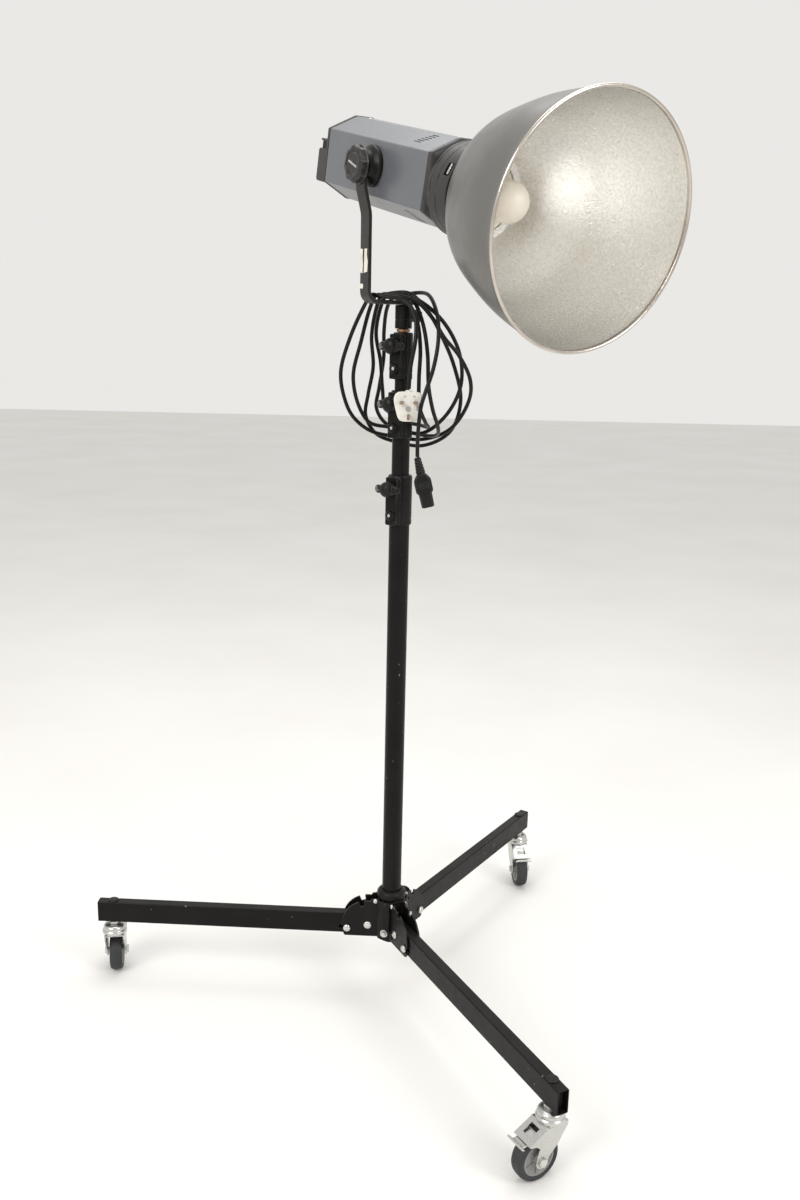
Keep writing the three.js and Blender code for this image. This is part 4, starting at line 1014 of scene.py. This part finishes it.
def clamp(level):
    """A cast sleeve with a boss for the knob and a dome bolt, with a small bright ring in the dome's top
    as a painted highlight.
    """
    low, high = CLAMP_Z[level]
    height = high - low
    outer = CLAMP_RADII[level]
    bore = (TUBE_RADII[1], TUBE_RADII[2], SPIGOT_R)[level] + 0.3
    sleeve = [
        (bore, 1), (outer - 1, 0), (outer + 0.3, 0.8), (outer + 0.6, 2.4), (outer + 0.6, 9),
        (outer + 0.1, 9.8), (outer + 0.1, 11), (outer + 0.6, 11.8), (outer + 0.6, height - 4),
        (outer + 0.2, height - 1.6), (outer - 1.2, height), (bore, height),
    ]
    boss = slab(rounded(-11, 11, 1, height - 2.5, 2.5), outer - 6, outer + 6, "YZ")
    web = slab([(outer - 3, -14), (outer + 2, -11), (outer + 2, 11), (outer - 3, 14)], 2, height - 4, "XY")
    head_x = outer + 6
    dome = [
        (0, -1), (8.8, -1), (9.4, 0.6), (9.2, 2.4), (8.2, 4.4), (6.6, 5.9), (4.6, 6.7), (3.6, 6.7),
        (3.4, 5.2), (0, 5.2),
    ]
    bolt = spin(dome, 40, "X", (head_x, 0, 18))
    # Painted highlight: a small bright ring in the black dome's top stands in for the glint on it.
    ring = rod(3.2, 4.6, 5.6, "X", (head_x, 0, 18), 6, 0.3, 1)
    washer = [(4.6, 0), (9.5, 0), (10, 0.8), (10, 1.2), (4.6, 1.2)]
    seat = spin(washer, 40, "X", (head_x - 0.3, 0, height - KNOB_DROP))
    parts = [spin(sleeve, 72), boss, web, bolt, ring, seat]
    piece(
        f"clamp_casting_{LEVELS[level]}", parts, [CASTING, BRIGHT_BOLT], CLAMP_BODIES[level],
        CLAMP[level], f"clamp_{LEVELS[level]}", bevel=0.7)


def wing_knob(level):
    """A round knob with a thick wing, on its screw; one wing tip is painted lighter as a painted
    highlight.
    """
    height = CLAMP_Z[level][1] - CLAMP_Z[level][0]
    at = CLAMP[level] @ move(0, 0, height - KNOB_DROP)
    bore = (TUBE_RADII[1], TUBE_RADII[2], SPIGOT_R)[level]
    face = CLAMP_RADII[level] + 7.2
    body = spin([
        (0, 0), (10.4, 0), (12, 1.4), (13.4, 4.5), (13.6, 9), (12.8, 13.5), (10.8, 17),
        (7.6, 19), (3.6, 19.8), (0, 20),
    ], 48, "X", (face, 0, 0))
    quarter = [(-21, -2.6), (-20, -5.6), (-17, -6.5), (-12, -5.6), (-7, -4.8)]
    under = [*quarter, *[(-y, z) for y, z in reversed(quarter)]]
    paddle = slab([*under, *mirrored(under)], face + 4, face + 14.5, "YZ")
    for vertex in paddle.verts:
        reach = abs(vertex.co.y) / 21
        middle = face + 9.5
        vertex.co.x = middle + (vertex.co.x - middle) * (1.15 - 0.55 * reach)
    # The tip at -18 takes the painted highlight finish; the other tip stays black.
    tips = [
        rod(7.2, face + 4.5, face + 13, "X", (0, y, 0), 28, 2.6, finish)
        for y, finish in ((18, 0), (-18, 2))
    ]
    screw = rod(4, bore + 0.8, face + 3, "X", (0, 0, 0), 24, 0.4, 1)
    name = LEVELS[level]
    piece(
        f"wing_knob_{name}", [body, paddle, *tips, screw], [BLACK_PLASTIC, ZINC, WING_TIP_HIGHLIGHT],
        f"clamp_knob_{name}", at, f"clamp_knob_{name}", bevel=0.8)


def spigot():
    profile = [
        (0, 1150), (7.4, 1150), (8, 1150.6), (8, 1214.4), (10.4, 1214.6), (11, 1215.2),
        (11, 1218.6), (10.4, 1219.4), (8, 1219.8), (8, 1222), (6.5, 1224), (6.5, 1230), (8, 1232),
        (8, 1249), (6.5, 1252), (0, 1252),
    ]
    piece("spigot_stud", spin(profile, 56), BRASS, "mast_top", MAST, "spigot")


for number in range(3):
    clamp(number)
    wing_knob(number)
spigot()


# ------------------------------------------------------------------ yoke
def adaptor():
    """The socket on the spigot, with its small lobed knob."""
    sleeve = [
        (8.4, 1220), (13, 1220), (13.8, 1220.8), (14, 1222), (14, 1233), (13.5, 1233.6),
        (13.5, 1234.4), (14, 1235), (14, 1256.4), (13.2, 1257.5), (8.4, 1257.5),
    ]
    parts = [spin(sleeve, 56), rod(9, 8.6, 18, "Y", (0, 0, 1241), 40, 0.8)]
    piece("yoke_socket", parts, CASTING, "yoke", YOKE, "spigot_adaptor", 0.3)
    knob = slab(lobed_outline(9.9, 0.6, 10, 40, 1241), 19, 30.8)
    cap = dome_head(8, 0, 1.6, "Y", (0, 30.2, 1241))
    screw = rod(3, 8.8, 20, "Y", (0, 0, 1241), 20, 0.2, 1)
    piece(
        "yoke_lock_knob", [knob, cap, screw], [BLACK_PLASTIC, ZINC], "adaptor_knob", YOKE,
        "adaptor_knob", bevel=0.7)


def arm_line():
    """Middle line of the bar, from the foot across, up and out to the eye."""
    z = 1258 + FOOT / 2
    bend = 16
    corner = -(ARM_LOW - bend)
    return [
        (13, z), (0, z), (-20, z), (-40, z), (corner, z),
        *arc(corner, z + bend, bend, -90, -180, 10)[1:],
        (-ARM_LOW, 1320), (-ARM_LOW, 1390), (-ARM_LOW - 0.5, 1396), (-ARM_LOW - 1.6, 1401),
        (-ARM_HIGH + 1.6, 1427), (-ARM_HIGH + 0.5, 1432), (-ARM_HIGH, 1438), (-ARM_HIGH, TILT_Z),
    ]


def yoke_arm():
    """One flat bar bent at the foot and joggled beside the head, with a round eye."""
    line = arm_line()
    half, edge = BAR_WIDTH / 2, FOOT / 2
    section = rounded(-half, half, -edge, edge, 1.3, 3)
    rings = [
        [(across, y - along.y * out, z + along.x * out) for across, out in section]
        for (y, z), along in zip(line, directions(line))
    ]
    side = [(half - 1.3, -edge), (half - 0.4, -edge + 0.4), (half, -edge + 1.3)]
    profile = [(0, -edge), *side, *mirrored(side), (0, edge)]
    eye = spin(profile, 48, "Y", (0, -ARM_HIGH, TILT_Z))
    foot_bolt = slab(hex_outline(0, 0, 8, 20), 1264.3, 1266.6, "XY", 1)
    piece(
        "yoke_bar", [skin(rings, False), eye, foot_bolt], [BRONZE, ZINC], "yoke", YOKE, "yoke_arm")


def tape_bits():
    """Torn ends of old tape on the arm's outer face."""
    face = -ARM_LOW - FOOT / 2
    strips = [
        [
            (-11.6, 1306), (-4.6, 1304.5), (-3.6, 1318), (-4.8, 1330), (-4, 1341), (-9, 1342.5),
            (-11.8, 1341),
        ],
        [
            (-0.5, 1305), (9.6, 1306.5), (11, 1322), (8.2, 1332), (8.8, 1341.5), (1.2, 1342),
            (0.2, 1326),
        ],
        [(-11.4, 1281.5), (-3, 1280.8), (-2, 1287), (-6.4, 1289), (-11.6, 1288)],
    ]
    parts = [slab(points, face - 0.35, face + 0.1) for points in strips]
    piece("tape_remnants", parts, TAPE, "yoke", YOKE)


def tilt_knob():
    """A lobed grip with a hollowed face, a plain raised bar, a flange and a stud."""
    inner = -ARM_HIGH - FOOT / 2 - 0.3
    face = inner - 14
    layers = [
        (face, 5.6), (face + 0.8, 2.2), (face + 3, 0.3), (face + 6, 0), (inner - 2.4, 0),
        (inner - 2, 0.6),
    ]
    edge = lobes(27.4, 1.1, 8, 96)
    outlines = [(face + 1.6, [(19, a) for r, a in edge]), (face - 0.2, [(20.6, a) for r, a in edge])]
    outlines += [(y, [(r - inset, a) for r, a in edge]) for y, inset in layers]
    grip = skin([
        [(r * math.cos(a), y, r * math.sin(a)) for r, a in outline] for y, outline in outlines
    ], False)
    flange = spin([
        (0, inner - 3.4), (28.2, inner - 3.4), (29, inner - 2.8), (29.2, inner - 1.6),
        (28.6, inner - 0.2), (0, inner - 0.2),
    ], 72, "Y")
    bar = turned_part(block(-13.2, 13.2, face + 0.4, face + 2.4, -1.4, 1.4, 1), 27, "Y")
    groove = spin([(15.6, face + 1.2), (16.4, face + 1.2), (16.4, face + 2), (15.6, face + 2)], 64, "Y")
    stud = rod(5, inner - 1, -69.6, "Y", (0, 0, 0), 24, 0.3, 2)
    piece(
        "tilt_grip", [grip, flange, bar, groove, stud], [KNOB_PLASTIC, BRIGHT_BOLT, ZINC],
        "tilt_knob", TILT, "tilt_knob", bevel=0.35)


adaptor()
yoke_arm()
tape_bits()
tilt_knob()


# ------------------------------------------------------------------ head
BODY_HALF = 63.5
BODY_SIDE_H = 41
BODY_TOP_W = 16
BODY_TOP = 65
BODY_LIFT = 4
LATCH = HEAD @ turn(90 - LATCH_ANGLE, "X")


def body_corners(inset):
    """The eight corners of the housing's section, moved in by inset."""
    side, top, slant = BODY_HALF - inset, BODY_TOP - inset, 0.42 * inset
    quarter = [(side, BODY_SIDE_H - slant), (BODY_TOP_W - 0.3 * slant, top)]
    half = quarter + [(-y, z) for y, z in reversed(quarter)]
    return [(y, z + BODY_LIFT) for y, z in half + [(-y, -z) for y, z in half]]


def soft_body(inset):
    """The eight-sided body section with a round at each corner."""
    cut, count = 2.2, 4
    corners = [Vector(p) for p in body_corners(inset)]
    points = []
    for i, corner in enumerate(corners):
        start = corner + (corners[i - 1] - corner).normalized() * cut
        end = corner + (corners[(i + 1) % len(corners)] - corner).normalized() * cut
        for k in range(count + 1):
            t = k / count
            points.append(start * (1 - t) ** 2 + corner * 2 * t * (1 - t) + end * t * t)
    return [(p.x, p.y) for p in points]


def vent_slots():
    """Rows of cutters across the four slanted faces."""
    slots = []
    across = Vector((BODY_HALF - BODY_TOP_W, BODY_TOP - BODY_SIDE_H))
    slant = math.degrees(math.atan2(across.y, across.x))
    for side, level in ((1, 1), (1, -1), (-1, 1), (-1, -1)):
        for i in range(6):
            reach = (20 + 5.2 * i) / across.length
            y = side * (BODY_HALF - across.x * reach)
            z = level * (BODY_SIDE_H + across.y * reach) + BODY_LIFT
            slot = slab(rounded(-9.5, 9.5, -1.2, 1.2, 1.1, 3), -7, 7, "XY")
            turned_part(slot, -side * level * slant, "X")
            slots.append(moved_part(slot, (88 + 2.4 * i, y, z)))
    return slots


def housing():
    """The eight-sided shell with vents and end screws."""
    ends = [
        (BODY_BACK, 2.5), (BODY_BACK, 0.5), (BODY_BACK + 0.5, 0), (BODY_FRONT - 0.5, 0),
        (BODY_FRONT, 0.5), (BODY_FRONT, 2.5),
    ]
    shell = skin([[(x, y, z) for y, z in soft_body(inset)] for x, inset in ends])
    obj = piece(
        "housing_body", shell, HOUSING, "head", HEAD, "housing_shell")
    pivot = rod(9, -BODY_HALF - 3, -BODY_HALF + 6, "Y", (0, 0, TILT_ABOVE_AXIS), 40)
    carve(obj, [*vent_slots(), pivot], HEAD)
    screws = []
    for x in (-130, 130):
        for seat, rise in ((BODY_TOP + BODY_LIFT - 0.1, 1.1), (0.1 + BODY_LIFT - BODY_TOP, -1.1)):
            screws.append(dome_head(2.8, 0, rise, "Z", (x, 0, seat)))
    piece("housing_screws", screws, BRIGHT_BOLT, "head", HEAD)


def edge_distance(corners, angle):
    """How far a ray from the middle of an outline goes before it meets a side."""
    c, s = math.cos(angle), math.sin(angle)
    best = math.inf
    for (ay, az), (by, bz) in zip(corners, corners[1:] + corners[:1]):
        ny, nz = bz - az, ay - by
        speed = ny * c + nz * s
        if abs(speed) > 1e-9 and 0 < (ny * ay + nz * az) / speed < best:
            best = (ny * ay + nz * az) / speed
    return best


def bezel_ring(x, share, radius, inset):
    """A ring between the housing's outline, at share 0, and a circle, at share 1."""
    steps = 160
    flat = body_corners(-1.2)
    row = []
    for i in range(steps):
        angle = 2 * math.pi * i / steps
        flat_reach = edge_distance(flat, angle)
        r = flat_reach + (radius - flat_reach) * share - inset
        row.append((x, r * math.cos(angle), r * math.sin(angle)))
    return row


def bezel():
    """The front casting, from the eight-sided housing to the ribbed round collar."""
    start, inner, front = BODY_FRONT + 0.3, 52, COLLAR_FRONT
    blend = [
        (start, 0, 69, 1.2), (start + 0.8, 0, 69, 0.2), (start + 2, 0, 69, 0), (start + 8, 0.03, 69, 0),
        (start + 9.4, 0.08, 67, 0.8), (158.6, 0.28, 64, 0), (160.8, 0.7, 62.6, 0),
    ]
    collar = [
        (162, 62.4), (163, 66), (163.6, 68), (164.6, 68.6), (170, 68.6), (170.4, 67.8), (171.6, 67.8),
        (172, 68.7), (186, 68.8), (186.4, 67.9), (187.8, 67.9), (188.2, 68.9), (front - 2.4, 69),
        (front - 0.8, 68.4), (front, 66.6), (front, 58), (front - 11, 57.5), (front - 11.2, inner),
        (start, inner),
    ]
    rings = [bezel_ring(*row) for row in blend] + [bezel_ring(x, 1, r, 0) for x, r in collar]
    obj = piece(
        "front_casting", skin(rings), CASING, "head", HEAD, "front_bezel")
    carve(obj, [block(196, 209.5, -10, 10, 60, 78)], LATCH)


def latch():
    base = block(202, 208.5, -9, 9, 60, 65.5)
    bar = slab(rounded(205, 208.5, -8, 8, 1.2, 3), 65, 70.6, "XY", 1)
    ridges = [
        slab(rounded(205.4, 208.1, y - 0.5, y + 0.5, 0.3, 2), 70.4, 71, "XY", 1)
        for y in (-4, -2, 0, 2, 4)
    ]
    piece(
        "latch_bar", [base, bar, *ridges], [BLACK_PLASTIC, BRIGHT_BOLT], "release_latch", LATCH,
        "release_latch", bevel=0.3)


def tilt_boss():
    cover = spin([
        (5.4, 63.9), (30, 63.9), (31, 64.6), (31.2, 67), (30.6, 69.4), (28.6, 71.4), (25, 73.4),
        (22.4, 76), (20.6, 79.6), (20, 80.4), (5.4, 80.4),
    ], 80, "Y")
    bmesh.ops.scale(cover, vec=(1, -1, 1), verts=cover.verts)
    moved_part(cover, (0, 0, TILT_ABOVE_AXIS))
    piece("tilt_boss_cover", cover, BLACK_PLASTIC, "head", HEAD, "tilt_boss")


def smooth_profile(points, keep):
    """The first points stay, and the rest are joined by a smooth line."""
    curve = smooth_line([Vector((r, h, 0)) for r, h in points[keep:]], 6)
    return points[:keep] + [(p.x, p.y) for p in curve]


def dish_inside(outer, wall):
    """The outer profile moved in by the wall, with the collar end kept square."""
    inner = [
        (r - along.y * wall, h + along.x * wall)
        for (r, h), along in zip(outer, directions(outer))
    ]
    for i, (inward, forward) in enumerate(((wall, 0), (wall, wall), (0.5, wall))):
        inner[i] = (outer[i][0] - inward, outer[i][1] + forward)
    return inner


def reflector():
    """The dish: dark outside, silver inside, and a rolled bright rim."""
    outer = smooth_profile([
        (56, COLLAR_FRONT - 9), (56, COLLAR_FRONT + 1), (65, COLLAR_FRONT + 1.5), (69, 219),
        (85, 243), (105, 269), (124, 297), (140, 340), (155, 392), (165.4, 454),
    ], 3)
    rim = arc(RIM_R - 2.2, RIM_AT - 2.6, 2.6, -50, 205, 14)
    part = spin(outer + rim + dish_inside(outer, 1.2)[::-1], 176, "X")
    obj = piece(
        "reflector_dish", part, [DISH_OUTSIDE, DISH_INSIDE, DISH_RIM], "reflector", HEAD,
        "reflector")
    to_head = HEAD.inverted()
    for polygon in obj.data.polygons:
        centre = to_head @ polygon.center
        normal = to_head.to_3x3() @ polygon.normal
        if centre.x > RIM_FROM * MM:
            polygon.material_index = 2
        elif normal.y * centre.y + normal.z * centre.z < 0:
            polygon.material_index = 1


def dome():
    """The frosted dome with its flat skirt."""
    outer = [(30, 160.6), (30, 166), *arc(0, 272, 30, 0, 90, 18)[:-1]]
    inner = [*arc(0, 272, 28, 90, 0, 18)[1:], (28, 160.6)]
    profile = [*outer, (0.02, 302), (0.02, 300), *inner]
    skirt = [(29.8, 210.2), (54.3, 210.2), (54.3, 211.8), (34, 212), (31.4, 213.4), (29.8, 216)]
    parts = [spin(profile, 96, "X"), spin(skirt, 96, "X")]
    piece("lamp_dome", parts, FROSTED, "head", HEAD, "glass_dome")


def rear_block():
    """The control block with its scooped face, and above it, under a thin hood, a black block that paints
    the shade in the gap.
    """
    back = BODY_BACK - 0.3
    solid = slab(rounded(back - 37, back - 3, -40, 12, 5, 6), -60, 60)
    obj = piece(
        "control_block", solid, CASING, "head", HEAD, "rear_panel", bevel=1.2,
        segments=3)
    scoop = slab(rounded(-52, 52, -33, 6, 3), back - 40, back - 23, "YZ")
    inlet = block(back - 40, back + 1, -45, -21, -30, -12)
    rocker = block(back - 40, back + 1, 26, 42, -29.4, -12.6)
    carve(obj, [scoop], HEAD)
    carve(obj, [inlet, rocker], HEAD)
    rim = slab(soft_body(-1), back - 5, back, "YZ")
    # Painted shade: a black block fills the gap under the hood where shadow falls.
    painted_shade_block = slab(rounded(back - 28, back - 3, 8, 25, 2), -59, 59, "XZ", 1)
    hood = slab(rounded(back - 32, back - 3, 24, 27.5, 1.5, 3), -60, 60)
    piece(
        "rear_frame", [rim, painted_shade_block, hood], [CASING, BLACK_PLASTIC], "head", HEAD,
        bevel=0.6)


def rear_controls():
    """Two dials with knurled edges and plain marks."""
    back = BODY_BACK - 0.3
    for name, y in (("power_dial", -12), ("lamp_dial", 12)):
        face = back - 23
        knob = slab(lobed_outline(8.3, 0.25, 24, 72), face - 10.6, face - 0.7, "YZ")
        skirt = rod(8.9, face - 3, face - 0.7, "X", (0, 0, 0), 48, 0.5)
        shaft = rod(2.6, face - 3, face + 17, "X", (0, 0, 0), 20, 0.2)
        mark = block(face - 11.2, face - 10.4, -0.8, 0.8, 1.5, 7.4, 1)
        piece(
            f"{name}_grip", [knob, skirt, shaft, mark], [BLACK_PLASTIC, GREY_MARK], name,
            HEAD @ move(0, y, -12), name, bevel=0.4)


housing()
bezel()
latch()
tilt_boss()
reflector()
dome()
rear_block()
rear_controls()
for cad_node, finish, softened in (
    ("lamp_carrier", CASING, 0.5), ("mains_inlet", BLACK_PLASTIC, 0.3),
    ("test_button", BRIGHT_BOLT, 0.4), ("rocker_switch", BLACK_PLASTIC, 0.4),
    ("fan_rotor", BLACK_PLASTIC, 0), ("flash_tube", GLASS, 0), ("modelling_lamp", GLASS, 0),
    ("capacitor_bank", SLEEVE_BLUE, 0), ("circuit_board", LAMINATE, 0),
):
    paint(cad_node, finish, softened)


# ------------------------------------------------------------------ floor and light
def floor():
    mesh = bpy.data.meshes.new("floor")
    reach = 14                          # metres
    corners = [(-reach, -reach, 0), (reach, -reach, 0), (reach, reach, 0), (-reach, reach, 0)]
    mesh.from_pydata(corners, [], [(0, 1, 2, 3)])
    obj = add_object("floor", mesh)
    mesh.materials.append(surface(
        "pale_floor", (0.76, 0.745, 0.72), (0.8, 0.79, 0.77), 1.5, 90, (0.6, 0.75), relief=0.0002))


def area_light(name, at, target, size, power, colour=(1, 1, 1)):
    data = bpy.data.lights.new(name, "AREA")
    data.shape = "RECTANGLE"
    data.size, data.size_y = size
    data.energy = power
    data.color = colour
    obj = add_object(name, data)
    obj.location = at
    direction = Vector(target) - Vector(at)
    obj.rotation_mode = "QUATERNION"
    obj.rotation_quaternion = direction.to_track_quat("-Z", "Y")


def room():
    world = bpy.data.worlds.new("room")
    world.use_nodes = True
    background = world.node_tree.nodes["Background"]
    background.inputs["Color"].default_value = (1.0, 0.99, 0.965, 1)
    background.inputs["Strength"].default_value = 0.82
    bpy.context.scene.world = world
    area_light("key", (-2.2, -2.6, 3.0), (0, 0, 1.0), (1.8, 1.8), 70, (1, 0.98, 0.95))
    area_light("fill", (2.6, -2.0, 2.2), (0.1, 0, 1.1), (1.2, 1.2), 45)
    area_light("top", (0.2, 0.4, 3.6), (0, 0, 0.8), (2.2, 2.2), 45)
    bpy.context.scene.view_settings.view_transform = "Standard"


floor()
room()
